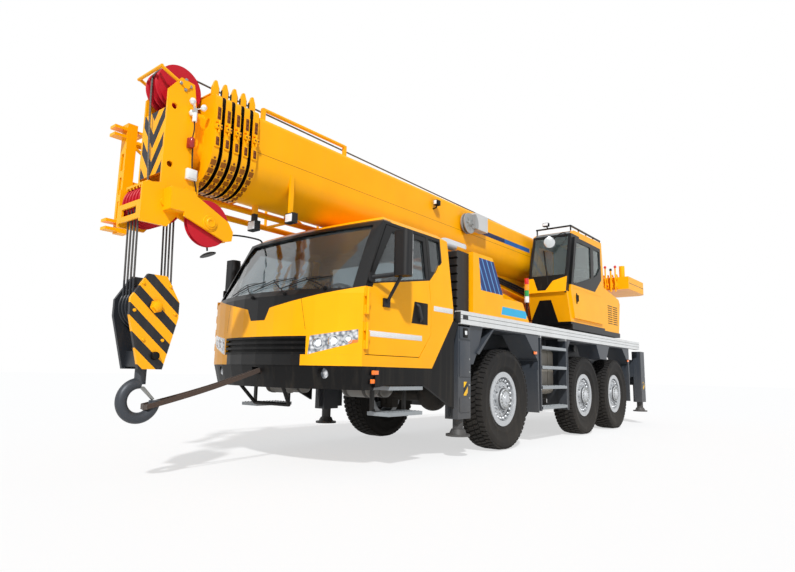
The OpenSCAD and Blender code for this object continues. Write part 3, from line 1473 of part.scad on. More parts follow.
chassis_frame();
axles();
engine_block();
deck();
walkways();
wheel_guards();
outrigger_housings();
cab_shell();
cab_front();
cab_lamps();
cab_glass();
cab_interior();
engine_cover();
stacks();
door_left();
door_right();
mirror_left();
mirror_right();
knuckle_1l();
knuckle_1r();
knuckle_3l();
knuckle_3r();
tyre_1l();
tyre_1r();
tyre_2l();
tyre_2r();
tyre_3l();
tyre_3r();
rim_1l();
rim_1r();
rim_2l();
rim_2r();
rim_3l();
rim_3r();
beam_fl();
beam_fr();
beam_rl();
beam_rr();
jack_fl();
jack_fr();
jack_rl();
jack_rr();
turntable();
operator_cab();
operator_glass();
operator_door();
operator_seat();
counterweight();
winch();
luff_barrel();
luff_rod();
boom_base();
fly_jib();
section_1();
section_2();
section_3();
section_4();
boom_head();
hook_block();
hook();
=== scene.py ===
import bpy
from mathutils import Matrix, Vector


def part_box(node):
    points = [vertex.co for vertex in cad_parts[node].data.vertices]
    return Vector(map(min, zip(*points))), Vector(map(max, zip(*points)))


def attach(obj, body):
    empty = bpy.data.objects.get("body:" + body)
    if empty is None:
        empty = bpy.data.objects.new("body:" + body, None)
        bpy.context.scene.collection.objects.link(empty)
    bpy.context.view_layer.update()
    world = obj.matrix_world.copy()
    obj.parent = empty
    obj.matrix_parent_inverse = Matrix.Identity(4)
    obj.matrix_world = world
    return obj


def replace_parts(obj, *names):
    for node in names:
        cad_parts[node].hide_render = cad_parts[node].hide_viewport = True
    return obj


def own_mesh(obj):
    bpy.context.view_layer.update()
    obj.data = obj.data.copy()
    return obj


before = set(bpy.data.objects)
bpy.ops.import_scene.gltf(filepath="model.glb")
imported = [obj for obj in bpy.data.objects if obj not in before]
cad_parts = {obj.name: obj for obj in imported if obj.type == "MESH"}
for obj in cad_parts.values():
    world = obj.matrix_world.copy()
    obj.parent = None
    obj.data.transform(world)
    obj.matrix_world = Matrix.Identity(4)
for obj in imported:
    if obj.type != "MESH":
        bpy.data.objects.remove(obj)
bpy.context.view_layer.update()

import math

import bmesh
import bpy
from mathutils import Matrix, Vector
from mathutils.bvhtree import BVHTree

# Where the crane stands: a pale studio floor under a white sky, with the camera
# low at the front left corner, turned up a little towards the boom.
scene = bpy.context.scene
scene.view_settings.view_transform = "Standard"
camera_at = (8.224, 5.042, 1.014)
yaw, pitch, roll = (math.radians(angle) for angle in (218.95, 8.75, 1.17))
ahead = Vector((math.cos(pitch) * math.cos(yaw), math.cos(pitch) * math.sin(yaw), math.sin(pitch)))
right = Vector((math.sin(yaw), -math.cos(yaw), 0))
above = right.cross(ahead)
camera = bpy.data.objects.new("camera", bpy.data.cameras.new("camera"))
camera.data.lens, camera.data.sensor_width, camera.data.clip_end = 25.517, 36, 200
camera.matrix_world = Matrix.Translation(camera_at) @ Matrix((
    math.cos(roll) * right + math.sin(roll) * above,
    -math.sin(roll) * right + math.cos(roll) * above, -ahead)).transposed().to_4x4()
scene.collection.objects.link(camera)
scene.camera = camera

sun = bpy.data.objects.new("sun", bpy.data.lights.new("sun", "SUN"))
sun.data.energy, sun.data.angle = 3.45, math.radians(3)
sun.rotation_euler = Vector((-0.64, -0.50, -0.72)).to_track_quat("-Z", "Y").to_euler()
scene.collection.objects.link(sun)


def shown_rays(tree):
    """One for what the camera sees, also in glass and polished faces, and nought for light."""
    ray = tree.nodes.new("ShaderNodeLightPath")
    total = ray.outputs["Is Camera Ray"]
    for kind in ("Is Glossy Ray", "Is Transmission Ray"):
        most = tree.nodes.new("ShaderNodeMath")
        most.operation = "MAXIMUM"
        tree.links.new(total, most.inputs[0])
        tree.links.new(ray.outputs[kind], most.inputs[1])
        total = most.outputs[0]
    return total


world = scene.world = bpy.data.worlds.new("sky")
world.use_nodes = True
sky = world.node_tree
sky.nodes.clear()
soft, plain, seen, out = (sky.nodes.new("ShaderNode" + kind) for kind in
                          ("Background", "Background", "MixShader", "OutputWorld"))
soft.inputs["Color"].default_value = (0.93, 0.96, 1.0, 1)
soft.inputs["Strength"].default_value = 0.36
plain.inputs["Strength"].default_value = 1.0
plain.inputs["Color"].default_value = (1, 1, 1, 1)
sky.links.new(shown_rays(sky), seen.inputs["Fac"])
sky.links.new(soft.outputs[0], seen.inputs[1])
sky.links.new(plain.outputs[0], seen.inputs[2])
sky.links.new(seen.outputs[0], out.inputs["Surface"])

floor_half = 90
floor_mesh = bpy.data.meshes.new("studio_floor")
floor_mesh.from_pydata([(x * floor_half, y * floor_half, 0) for x, y in ((-1, -1), (1, -1), (1, 1), (-1, 1))],
                       [], [(0, 1, 2, 3)])
floor = bpy.data.objects.new("studio_floor", floor_mesh)
scene.collection.objects.link(floor)
pale = bpy.data.materials.new("pale_floor")
pale.use_nodes = True
nodes, links = pale.node_tree.nodes, pale.node_tree.links
nodes.clear()
matt, glow, seen, out = (nodes.new("ShaderNode" + kind) for kind in
                         ("BsdfDiffuse", "Emission", "MixShader", "OutputMaterial"))
matt.inputs["Color"].default_value = (0.90, 0.90, 0.90, 1)
share = nodes.new("ShaderNodeMath")
share.operation = "MULTIPLY"
share.inputs[1].default_value = 0.62
links.new(shown_rays(pale.node_tree), share.inputs[0])
links.new(share.outputs[0], seen.inputs["Fac"])
links.new(matt.outputs[0], seen.inputs[1])
links.new(glow.outputs[0], seen.inputs[2])
links.new(seen.outputs[0], out.inputs["Surface"])
floor_mesh.materials.append(pale)

# Chassis: two welded box beams with cross members, sprayed dark grey, and pale tanks behind the
# ladders; axles, engine and knuckles are cast and forged steel, dusty from the road.
def tint(red, green, blue):
    """Colour as a paint list gives it, 0 to 255, as Blender's linear colour."""
    return tuple(((c / 255 + 0.055) / 1.055) ** 2.4 if c > 10 else c / 3294
                 for c in (red, green, blue)) + (1,)


def wire(tree, kind, **inputs):
    """New node with its inputs set to values or joined to other nodes' outputs; i0 is its first input."""
    node = tree.nodes.new(kind)
    for name, value in inputs.items():
        numbered = name[0] == "i" and name[1:].isdigit()
        place = node.inputs[int(name[1:])] if numbered else node.inputs[name.replace("_", " ")]
        if isinstance(value, bpy.types.NodeSocket):
            tree.links.new(value, place)
        else:
            place.default_value = value
    return node


def maths(tree, operation, *values):
    node = wire(tree, "ShaderNodeMath", **{f"i{n}": value for n, value in enumerate(values)})
    node.operation = operation
    return node.outputs[0]


def new_group(name, kind, given, results):
    group = bpy.data.node_groups.new(name, kind)
    for put, sockets in (("INPUT", given), ("OUTPUT", results)):
        for label, sort, *value in sockets:
            place = group.interface.new_socket(label, in_out=put, socket_type="NodeSocket" + sort)
            if value:
                place.default_value = value[0]
    return group, group.nodes.new("NodeGroupInput"), group.nodes.new("NodeGroupOutput")


def weather_group():
    """Dust that thins with height, faint rain streaks and mottling over a coat of paint."""
    group, given, result = new_group(
        "weather", "ShaderNodeTree",
        (("Coat", "Color"), ("Dust", "Float", 0.25), ("Dust height", "Float", 1.2), ("Streaks", "Float", 0.1),
         ("Gloss", "Float", 0.35)),
        (("Colour", "Color"), ("Roughness", "Float"), ("Relief", "Float")))
    place = group.nodes.new("ShaderNodeTexCoord").outputs["Object"]
    height = wire(group, "ShaderNodeSeparateXYZ", Vector=place).outputs["Z"]
    patch = wire(group, "ShaderNodeTexNoise", Vector=place, Scale=2.3, Detail=6.0).outputs["Fac"]
    speck = wire(group, "ShaderNodeTexNoise", Vector=place, Scale=60.0, Detail=4.0).outputs["Fac"]
    fall = wire(group, "ShaderNodeMapping", Vector=place, Scale=(14, 14, 0.7)).outputs[0]
    streak = wire(group, "ShaderNodeTexNoise", Vector=fall, Scale=1.0, Detail=3.0).outputs["Fac"]
    low = maths(group, "SUBTRACT", 1.0, maths(group, "DIVIDE", height, given.outputs["Dust height"]))
    low = wire(group, "ShaderNodeClamp", Value=low).outputs[0]
    dust = maths(group, "MULTIPLY", low, given.outputs["Dust"])
    dust = maths(group, "MULTIPLY", dust, maths(group, "ADD", patch, speck))
    run = wire(group, "ShaderNodeMapRange", Value=streak, i1=0.52, i2=0.75).outputs[0]
    run = maths(group, "MULTIPLY", run, given.outputs["Streaks"])
    veil = wire(group, "ShaderNodeClamp", Value=maths(group, "ADD", dust, run)).outputs[0]
    shade = wire(group, "ShaderNodeMapRange", Value=patch, i1=0.3, i2=0.7, i3=0.94, i4=1.04).outputs[0]
    tone = wire(group, "ShaderNodeHueSaturation", Value=shade, Color=given.outputs["Coat"]).outputs[0]
    coat = wire(group, "ShaderNodeMix", i0=veil, i6=tone, i7=tint(122, 112, 98))
    coat.data_type = "RGBA"
    dull = maths(group, "MULTIPLY_ADD", veil, 0.5, given.outputs["Gloss"])
    dull = maths(group, "MULTIPLY_ADD", maths(group, "SUBTRACT", speck, 0.5), 0.05, dull)
    dull = wire(group, "ShaderNodeClamp", Value=dull, Min=0.05).outputs[0]
    group.links.new(coat.outputs[2], result.inputs["Colour"])
    group.links.new(dull, result.inputs["Roughness"])
    group.links.new(speck, result.inputs["Relief"])
    return group


weather = weather_group()


def coated(name, colour, gloss=0.35, dust=0.25, height=1.2, streaks=0.08, metal=0.0, relief=0.04, clear=0.0,
           shine=0.35):
    """Paint, plastic, rubber or metal with the weather over it."""
    material = bpy.data.materials.new(name)
    material.use_nodes = True
    tree = material.node_tree
    shader = tree.nodes["Principled BSDF"]
    layer = tree.nodes.new("ShaderNodeGroup")
    layer.node_tree, layer.name = weather, "weather"
    for key, value in (("Coat", colour), ("Dust", dust), ("Dust height", height), ("Streaks", streaks),
                       ("Gloss", gloss)):
        layer.inputs[key].default_value = value
    bump = wire(tree, "ShaderNodeBump", Height=layer.outputs["Relief"], Strength=relief, Distance=0.002)
    tree.links.new(layer.outputs["Colour"], shader.inputs["Base Color"])
    tree.links.new(layer.outputs["Roughness"], shader.inputs["Roughness"])
    tree.links.new(bump.outputs[0], shader.inputs["Normal"])
    shader.inputs["Metallic"].default_value = metal
    shader.inputs["Coat Weight"].default_value = clear
    shader.inputs["Specular IOR Level"].default_value = shine
    return material


def dress(material, *names):
    """The CAD nodes of these names take a finish."""
    for name in names:
        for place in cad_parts[name].material_slots:
            place.material = material


def spot(tree, mirrored=True):
    """Place on the piece, with left and right taken as one where it is mirrored."""
    place = tree.nodes.new("ShaderNodeTexCoord").outputs["Object"]
    if not mirrored:
        return place
    parts = wire(tree, "ShaderNodeSeparateXYZ", Vector=place)
    return wire(tree, "ShaderNodeCombineXYZ", X=parts.outputs["X"],
                Y=maths(tree, "ABSOLUTE", parts.outputs["Y"]), Z=parts.outputs["Z"]).outputs[0]


def dot(tree, place, normal):
    node = wire(tree, "ShaderNodeVectorMath", i0=place, i1=normal)
    node.operation = "DOT_PRODUCT"
    return node.outputs["Value"]


def beyond(*planes):
    """Region on the far side of every plane, each a direction and a distance along it."""
    def region(tree, place):
        mask = 1.0
        for normal, least in planes:
            mask = maths(tree, "MULTIPLY", maths(tree, "GREATER_THAN", dot(tree, place, normal), least), mask)
        return mask
    return region


def within(x=None, y=None, z=None):
    """Region in a box; a direction left out has no limits."""
    planes = []
    for n, limits in enumerate((x, y, z)):
        if limits:
            normal = tuple(float(k == n) for k in range(3))
            planes += [(normal, limits[0]), (tuple(-c for c in normal), -limits[1])]
    return beyond(*planes)


def marked(material, *marks, mirrored=True):
    """Second coats of other colours over parts of a finish; each mark is a colour and a region."""
    tree = material.node_tree
    layer, place = tree.nodes["weather"], spot(tree, mirrored)
    coat = tuple(layer.inputs["Coat"].default_value)
    for colour, region in marks:
        mix = wire(tree, "ShaderNodeMix", i0=region(tree, place), i6=coat, i7=colour)
        mix.data_type = "RGBA"
        coat = mix.outputs[2]
    tree.links.new(coat, layer.inputs["Coat"])
    return material


cast_steel = coated("cast_steel", tint(40, 41, 43), gloss=0.6, dust=0.45, relief=0.4)
dress(cast_steel, "axles", "engine_block", "knuckle_1l", "knuckle_1r", "knuckle_3l", "knuckle_3r")
side_tanks = within(x=(-0.97, -0.11), y=(0.6, 1.05), z=(0.70, 1.47))
chassis_coat = coated("chassis_coat", tint(54, 58, 64), gloss=0.4, dust=0.25)
dress(marked(chassis_coat, (tint(146, 140, 130), side_tanks)), "chassis_frame")

# Brake and hydraulic lines: steel pipes clipped along the inside of the chassis beams, with
# black hoses that drop to each axle.
def round_ring(mesh, middle, radius, across, beside, sides):
    """Ring of points round a middle."""
    return [mesh.verts.new(middle + radius * (across * math.cos(turn) + beside * math.sin(turn)))
            for turn in (2 * math.pi * k / sides for k in range(sides))]


def skin(mesh, rings):
    """Faces between rings of points, closed at both ends."""
    for near, far in zip(rings, rings[1:]):
        for k in range(len(near)):
            mesh.faces.new((near[k - 1], near[k], far[k], far[k - 1]))
    mesh.faces.new(rings[0][::-1])
    mesh.faces.new(rings[-1])


def pipe(points, radius, sides=8):
    """Round tube along points, closed at its ends."""
    points = [Vector(point) for point in points]
    mesh, rings, last = bmesh.new(), [], len(points) - 1
    across = (points[1] - points[0]).normalized().orthogonal().normalized()
    for n, point in enumerate(points):
        here = (points[min(n + 1, last)] - points[max(n - 1, 0)]).normalized()
        across = (across - here * across.dot(here)).normalized()
        bend = 1.0
        if 0 < n < last:
            bend = 1 / max(0.5, math.cos((points[n + 1] - point).angle(point - points[n - 1]) / 2))
        rings.append(round_ring(mesh, point, radius * bend, across, here.cross(across), sides))
    skin(mesh, rings)
    return mesh


def curve_through(points, steps=6):
    """Smooth line through points, as a bent hose or pipe takes."""
    points = [Vector(point) for point in points]
    ends = [2 * points[0] - points[1]] + points + [2 * points[-1] - points[-2]]
    line = []
    for before, start, end, after in zip(ends, ends[1:], ends[2:], ends[3:]):
        for part in (k / steps for k in range(steps)):
            bend = (2 * before - 5 * start + 4 * end - after) * part ** 2
            bend += (3 * start - before - 3 * end + after) * part ** 3
            line.append(0.5 * (2 * start + (end - before) * part + bend))
    return line + [points[-1]]


def link(name, mesh, body=None):
    piece = bpy.data.objects.new(name, mesh)
    scene.collection.objects.link(piece)
    if body:
        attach(piece, body)
    return piece


def made(name, shapes, finish, body=None, smooth=35):
    """One piece from several shapes, smooth but for its sharp edges."""
    mesh, whole = bpy.data.meshes.new(name), bmesh.new()
    for shape in shapes:
        bmesh.ops.recalc_face_normals(shape, faces=shape.faces)
        part = bpy.data.meshes.new("part")
        shape.to_mesh(part)
        shape.free()
        whole.from_mesh(part)
        bpy.data.meshes.remove(part)
    whole.to_mesh(mesh)
    whole.free()
    mesh.shade_smooth()
    mesh.set_sharp_from_angle(angle=math.radians(smooth))
    mesh.materials.append(finish)
    return link(name, mesh, body)


black_rubber = coated("black_rubber", tint(24, 24, 26), gloss=0.6, dust=0.3, relief=0.3)
zinc = coated("zinc", tint(150, 152, 150), gloss=0.4, dust=0.3, metal=0.7)
axle_xs = {"1": 1.08, "2": -1.92, "3": -3.57}
pipe_ends, pipe_y, pipe_zs, pipe_r, hose_r = (-5.1, 2.2), 0.285, (1.30, 1.36, 1.42), 0.012, 0.016
hose_route = ((0.34, 0.28, 1.30), (0.33, 0.30, 1.08), (0.22, 0.42, 0.86), (0.09, 0.52, 0.76))
made("brake_pipes", [pipe([(x, hand * pipe_y, z) for x in pipe_ends], pipe_r)
                     for hand in (-1, 1) for z in pipe_zs], zinc, "carrier")
made("axle_hoses", [pipe(curve_through([(axle_x + x, hand * y, z) for x, y, z in hose_route]), hose_r)
                    for axle_x in axle_xs.values() for hand in (-1, 1)], black_rubber, "carrier")

# Tyres: black rubber casings with ribbed side walls and four rows of moulded tread blocks.
# They are mounted on the rims and stand for the plain solids.
def lathe(profile, centre, axis, sides):
    """Turned shape: radius and place along the axis of each point of the profile."""
    along = Vector(axis).normalized()
    across = along.orthogonal().normalized()
    mesh, rings = bmesh.new(), []
    for radius, place in profile:
        middle = Vector(centre) + along * place
        if rings and (radius, place) == profile[0]:
            rings.append(rings[0])
        elif radius < 1e-6:
            rings.append([mesh.verts.new(middle)] * sides)
        else:
            rings.append(round_ring(mesh, middle, radius, across, along.cross(across), sides))
    for near, far in zip(rings, rings[1:]):
        for k in range(sides):
            corners = list(dict.fromkeys((near[k - 1], near[k], far[k], far[k - 1])))
            if len(corners) > 2:
                mesh.faces.new(corners)
    return mesh


def plate(near, far):
    """Closed plate between two outlines with as many points each."""
    mesh = bmesh.new()
    ends = [[mesh.verts.new(point) for point in outline] for outline in (near, far)]
    mesh.faces.new(ends[0])
    mesh.faces.new(ends[1][::-1])
    for n in range(len(near)):
        mesh.faces.new((ends[0][n - 1], ends[0][n], ends[1][n], ends[1][n - 1]))
    return mesh


def repeat_tree():
    """Copies of a small piece in a row or a ring."""
    tree, given, result = new_group(
        "copies", "GeometryNodeTree",
        (("Geometry", "Geometry"), ("Piece", "Object"), ("Count", "Int", 8), ("Step", "Vector"),
         ("Turn", "Vector"), ("Centre", "Vector"), ("Finish", "Material")), (("Geometry", "Geometry"),))
    row = wire(tree, "GeometryNodeMeshLine", Count=given.outputs["Count"], Offset=given.outputs["Step"])
    row.mode = "OFFSET"
    piece = wire(tree, "GeometryNodeObjectInfo", Object=given.outputs["Piece"])
    turn = wire(tree, "ShaderNodeVectorMath", i0=given.outputs["Turn"])
    turn.operation = "SCALE"
    tree.links.new(tree.nodes.new("GeometryNodeInputIndex").outputs[0], turn.inputs["Scale"])
    spread = wire(tree, "GeometryNodeInstanceOnPoints", Points=row.outputs[0],
                  Instance=piece.outputs["Geometry"], Rotation=turn.outputs[0])
    moved = wire(tree, "GeometryNodeTransform", Geometry=spread.outputs[0],
                 Translation=given.outputs["Centre"])
    solid = wire(tree, "GeometryNodeRealizeInstances", Geometry=moved.outputs[0])
    finish = wire(tree, "GeometryNodeSetMaterial", Geometry=solid.outputs[0],
                  Material=given.outputs["Finish"])
    tree.links.new(finish.outputs[0], result.inputs[0])
    return tree


copies = repeat_tree()


def repeated(name, shapes, count, finish, body, step=(0, 0, 0), turn=(0, 0, 0), centre=(0, 0, 0)):
    """A row or ring of copies of one shape as one mesh on one body."""
    seed = made(name + "_one", shapes, finish)
    piece = link(name, bpy.data.meshes.new(name))
    modifier = piece.modifiers.new("copies", "NODES")
    modifier.node_group = copies
    for key, value in (("Piece", seed), ("Count", count), ("Step", step), ("Turn", turn), ("Centre", centre),
                       ("Finish", finish)):
        modifier[copies.interface.items_tree[key].identifier] = value
    bpy.context.view_layer.update()
    mesh = bpy.data.meshes.new_from_object(piece.evaluated_get(bpy.context.evaluated_depsgraph_get()))
    mesh.name = name
    piece.modifiers.clear()
    piece.data = mesh
    bpy.data.objects.remove(seed)
    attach(piece, body)
    return piece


rubber = coated("tyre_rubber", tint(27, 27, 28), gloss=0.75, dust=0.1, height=1.5, relief=0.2, shine=0.2)
wheel_y, wheel_z = 1.065, 0.685
casing = [(0.319, -0.118), (0.374, -0.128), (0.392, -0.140), (0.44, -0.166), (0.452, -0.172), (0.462, -0.168),
          (0.52, -0.182), (0.575, -0.186), (0.585, -0.191), (0.598, -0.188), (0.632, -0.180), (0.655, -0.168),
          (0.664, -0.145), (0.667, -0.05)]
casing += [(radius, -place) for radius, place in casing[::-1]] + casing[:1]
lug_foot_r, lug_top_r, shoulder_y, shoulder_drop = 0.655, 0.6845, 0.15, 0.014
lug_count = 58
half_pitch = math.pi / lug_count


def tread_block(turn, low, high, width, slant):
    """One lug of the tread, standing on the casing at an angle round it."""
    ends, middle = [], (low + high) / 2
    corners = [(-width / 2 - slant, low), (width / 2 - slant, low),
               (width / 2 + slant, high), (-width / 2 + slant, high)]
    for radius, long_share, wide_share in ((lug_foot_r, 1.0, 1.0), (lug_top_r, 0.86, 0.94)):
        ends.append([])
        for x, y in corners:
            y = middle + (y - middle) * wide_share
            far = radius - (shoulder_drop if radius == lug_top_r and abs(y) > shoulder_y else 0.0)
            angle = turn + x * long_share / radius
            ends[-1].append((far * math.sin(angle), y, far * math.cos(angle)))
    return plate(*ends)


wheels = [(axle + side, axle_x, hand) for axle, axle_x in axle_xs.items()
          for side, hand in (("l", 1), ("r", -1))]
for wheel, axle_x, hand in wheels:
    middle, body = (axle_x, hand * wheel_y, wheel_z), "wheel_" + wheel
    tyre = made("casing_" + wheel, [lathe(casing, middle, (0, 1, 0), 72)], rubber, body, 50)
    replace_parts(tyre, "tyre_" + wheel)
    repeated("tread_" + wheel, [tread_block(0, 0.092, 0.176, 0.050, 0.006),
                                tread_block(half_pitch, -0.176, -0.092, 0.050, 0.006),
                                tread_block(0, -0.086, -0.005, 0.052, -0.014),
                                tread_block(half_pitch, 0.005, 0.086, 0.052, -0.014)], lug_count, rubber,
             body, turn=(0, 2 * half_pitch, 0), centre=middle)

# Rims: pressed steel discs painted silver, with a ring of domed studs round the edge, hexagon
# nuts on the hub flange and a bolted cover over the wheel-hub gear.
def disc(x, z, radius):
    """Region in a cylinder that lies across the crane."""
    def region(tree, place):
        flat = wire(tree, "ShaderNodeVectorMath", i0=place, i1=(1, 0, 1))
        flat.operation = "MULTIPLY"
        far = wire(tree, "ShaderNodeVectorMath", i0=flat.outputs[0], i1=(x, 0, z))
        far.operation = "DISTANCE"
        return maths(tree, "LESS_THAN", far.outputs["Value"], radius)
    return region


def joined(operation, regions):
    def region(tree, place):
        mask = regions[0](tree, place)
        for other in regions[1:]:
            mask = maths(tree, operation, mask, other(tree, place))
        return mask
    return region


def either(*regions):
    return joined("MAXIMUM", regions)


def round_rims(radius):
    """Region of every rim within a radius of its axle."""
    return either(*(disc(x, wheel_z, radius) for x in axle_xs.values()))


def knob(at, out, top, radius, height, shoulder, sunk, sides=6):
    """Turned head with its top edge taken off: a bolt, nut, pin or tooth."""
    return lathe([(0, height), (top, height), (radius, shoulder), (radius, -sunk), (0, -sunk)], at, out,
                 sides)


def rim_coat(name):
    return coated(name, tint(192, 195, 198), gloss=0.3, dust=0.1, height=1.3, metal=0.35)


silver = rim_coat("silver_paint")
# A dark ring is painted round the foot of the studs: painted shade between them.
rim_paint_and_shade = marked(rim_coat("rim_paint_and_shade"), (tint(58, 60, 63), round_rims(0.291)),
                    (tint(182, 185, 188), round_rims(0.238)), (tint(80, 82, 85), round_rims(0.152)),
                    mirrored=False)
stud_count, stud_ring, nut_count, nut_ring = 22, 0.264, 16, 0.118
stud = [(0.0, 0.034), (0.014, 0.031), (0.022, 0.02), (0.025, 0.0), (0.025, -0.018), (0, -0.018)]
hub_cover = [(0, 0.034), (0.045, 0.034), (0.052, 0.028), (0.060, 0.016), (0.088, 0.014), (0.094, 0.006),
             (0.132, 0.004), (0.138, -0.004), (0.138, -0.012), (0, -0.012)]
for wheel, axle_x, hand in wheels:
    dress(rim_paint_and_shade, "rim_" + wheel)
    low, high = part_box("rim_" + wheel)
    hub_y, disc_y = high.y if hand > 0 else low.y, hand * (wheel_y + 0.09)
    body, out = "wheel_" + wheel, (0, hand, 0)
    repeated("rim_studs_" + wheel, [lathe(stud, (stud_ring, 0, 0), out, 10)], stud_count, silver, body,
             turn=(0, 2 * math.pi / stud_count, 0), centre=(axle_x, disc_y, wheel_z))
    made("hub_cover_" + wheel, [lathe(hub_cover, (axle_x, hub_y, wheel_z), out, 32)], silver, body)
    repeated("hub_nuts_" + wheel, [knob((nut_ring, 0, 0), out, 0.007, 0.011, 0.016, 0.012, 0.0)], nut_count,
             zinc, body, turn=(0, 2 * math.pi / nut_count, 0),
             centre=(axle_x, hub_y + hand * 0.004, wheel_z))

# Deck: folded steel plates with a raised non-slip pattern, bolted over the chassis beams.
# The pattern is rolled into the plate, so it is relief in the finish.
def embossed(tree, height, strength, distance):
    """Fine relief rolled, laid or woven into a finish."""
    bump = wire(tree, "ShaderNodeBump", Height=height, Strength=strength, Distance=distance)
    tree.links.new(bump.outputs[0], tree.nodes["Principled BSDF"].inputs["Normal"])
    return bump


deck_plate = coated("deck_plate", tint(60, 64, 70), gloss=0.45, dust=0.3, height=1.9)
tree = deck_plate.node_tree
slant = wire(tree, "ShaderNodeMapping", Vector=spot(tree, mirrored=False), Rotation=(0, 0, math.pi / 4),
             Scale=(105, 105, 105))
slant = wire(tree, "ShaderNodeSeparateXYZ", Vector=slant.outputs[0])
knobs = maths(tree, "MULTIPLY", maths(tree, "SINE", slant.outputs["X"]),
              maths(tree, "SINE", slant.outputs["Y"]))
knobs = wire(tree, "ShaderNodeMapRange", Value=knobs, i1=0.35, i2=0.6).outputs[0]
rolled = embossed(tree, knobs, 0.6, 0.004)
tree.links.new(tree.nodes["Bump"].outputs[0], rolled.inputs["Normal"])
dress(deck_plate, "deck")

# Deck rails, ladders and cab steps: pressed aluminium bars with two grooves along each rail shown as
# painted shade, dark end caps, and rows of punched teeth on the treads.
def stripes(normal, pitch, share=0.5, start=0.0):
    """Region of even bands across a direction."""
    def region(tree, place):
        turn = maths(tree, "DIVIDE", maths(tree, "SUBTRACT", dot(tree, place, normal), start), pitch)
        return maths(tree, "LESS_THAN", maths(tree, "FRACT", turn), share)
    return region


def both(*regions):
    return joined("MULTIPLY", regions)


def outside(region):
    return lambda tree, place: maths(tree, "SUBTRACT", 1.0, region(tree, place))


def block(low, high, edge):
    """Box between two corners, its edges rounded off."""
    mesh = bmesh.new()
    bmesh.ops.create_cube(mesh, size=1)
    for vert in mesh.verts:
        vert.co = [low[n] if vert.co[n] < 0 else high[n] for n in range(3)]
    bmesh.ops.bevel(mesh, geom=mesh.edges[:], offset=edge, segments=2, affect="EDGES", profile=0.5)
    return mesh


def slab(x, y, z, edge):
    """Block from its reach along, across and up, each in either order."""
    return block(*zip(sorted(x), sorted(y), sorted(z)), edge)


def about(middle, half):
    return middle - half, middle + half


# The rails' two grooves are dark bands of painted shade on the rail face.
groove_shade_bands = both(within(y=(1.27, 1.4), z=(1.685, 1.755)), stripes((0, 0, 1), 0.055, 0.13, 1.69))
ladder_posts = both(within(x=(-1.2, 0.1), z=(0.3, 1.6)), outside(within(x=(-1.015, -0.065))))
step_treads = either(within(z=(0.555, 0.605)), within(z=(0.825, 0.875)))
step_frames = both(within(x=(2.9, 3.8), z=(0.3, 1.2)), outside(step_treads))
rail_metal = marked(coated("rail_metal", tint(214, 216, 216), gloss=0.38, dust=0.15, height=1.2, metal=0.25),
                    (tint(96, 98, 100), groove_shade_bands), (tint(150, 156, 160), within(z=(0.3, 1.6))),
                    (tint(58, 63, 70), ladder_posts), (tint(24, 25, 27), step_frames))
dress(rail_metal, "walkways")

hands = (("left", 1), ("right", -1))
treads = (("ladder_teeth", -1.0, (1.13, 1.18, 1.225), 18, 0.055, (0.545, 0.855, 1.165, 1.475)),
          ("cab_step_teeth", 3.09, (1.0, 1.06, 1.12, 1.18, 1.225), 11, 0.05, (0.60, 0.87)))
for side, hand in hands:
    for name, start_x, rows, count, tooth_pitch, tops in treads:
        for n, top in enumerate(tops):
            teeth = [knob((0, hand * y, 0), (0, 0, 1), 0.006, 0.009, 0.006, 0.0, 0.003, 8) for y in rows]
            repeated(f"{name}_{side}_{n + 1}", teeth, count, rail_metal, "carrier",
                     step=(tooth_pitch, 0, 0), centre=(start_x, 0, top))

caps = []
for hand in (-1, 1):
    for end_x, way in ((2.295, 1), (-5.17, -1)):
        caps.append(slab((end_x - 0.02 * way, end_x + 0.012 * way), (hand * 1.19, hand * 1.27),
                         (1.645, 1.785), 0.008))
    caps.append(slab((2.13, 2.25), (hand * 1.268, hand * 1.279), (1.69, 1.745), 0.004))
made("rail_end_caps", caps, cast_steel, "carrier")

# Wheel guards: folded sheet steel over the tyres with rubber flaps, in the chassis grey, with a corner
# plate behind the left front outrigger, and amber side markers in black housings there and on the bumper.
skins = {}


def touch(node, start, way):
    """Where a line from outside first meets a node, and which way the face there looks."""
    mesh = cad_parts[node].data
    if node not in skins:
        skins[node] = BVHTree.FromPolygons([v.co for v in mesh.vertices],
                                           [tuple(p.vertices) for p in mesh.polygons])
    point, normal, _, _ = skins[node].ray_cast(Vector(start), Vector(way))
    return point, normal


def side_y(node, x, z, hand):
    """How far across the crane the left or right face of a node lies."""
    return touch(node, (x, hand * 2, z), (0, -hand, 0))[0].y


def on_face(node, x, z, hand, under, over):
    """Reach across the crane of a thin piece on the left or right face of a node."""
    face = side_y(node, x, z, hand)
    return face - hand * under, face + hand * over


def prism(outline, low, high):
    """Plate with an outline of x and z, between two places across the crane."""
    return plate(*([(x, y, z) for x, z in outline] for y in (low, high)))


grey_coat = coated("grey_coat", tint(58, 63, 70), gloss=0.4, dust=0.25)
dress(grey_coat, "wheel_guards")
black_trim = coated("black_trim", tint(9, 9, 10), gloss=0.5, dust=0.03, shine=0.18)
amber_lens = coated("amber_lens", tint(255, 120, 10), gloss=0.12, dust=0.05, clear=0.6)
markers = (("wheel_guards", 0.195, 1.353), ("wheel_guards", -4.324, 1.361), ("cab_front", 3.88, 1.01),
           ("cab_front", 3.88, 0.922))
for side, hand in hands:
    housings, lenses = [], []
    for node, x, z in markers:
        housings.append(slab(about(x, 0.062), on_face(node, x, z, hand, 0.004, 0.012), about(z, 0.03), 0.006))
        lenses.append(slab(about(x, 0.052), on_face(node, x, z, hand, 0.0, 0.02), about(z, 0.022), 0.007))
    made("marker_housings_" + side, housings, black_trim, "carrier")
    made("marker_lenses_" + side, lenses, amber_lens, "carrier")
corner_outline = [(2.026, 1.63), (2.026, 1.14), (1.94, 1.14), (1.80, 1.36), (1.70, 1.63)]
made("guard_corner", [prism(corner_outline, 1.205, 1.235)], grey_coat, "carrier")

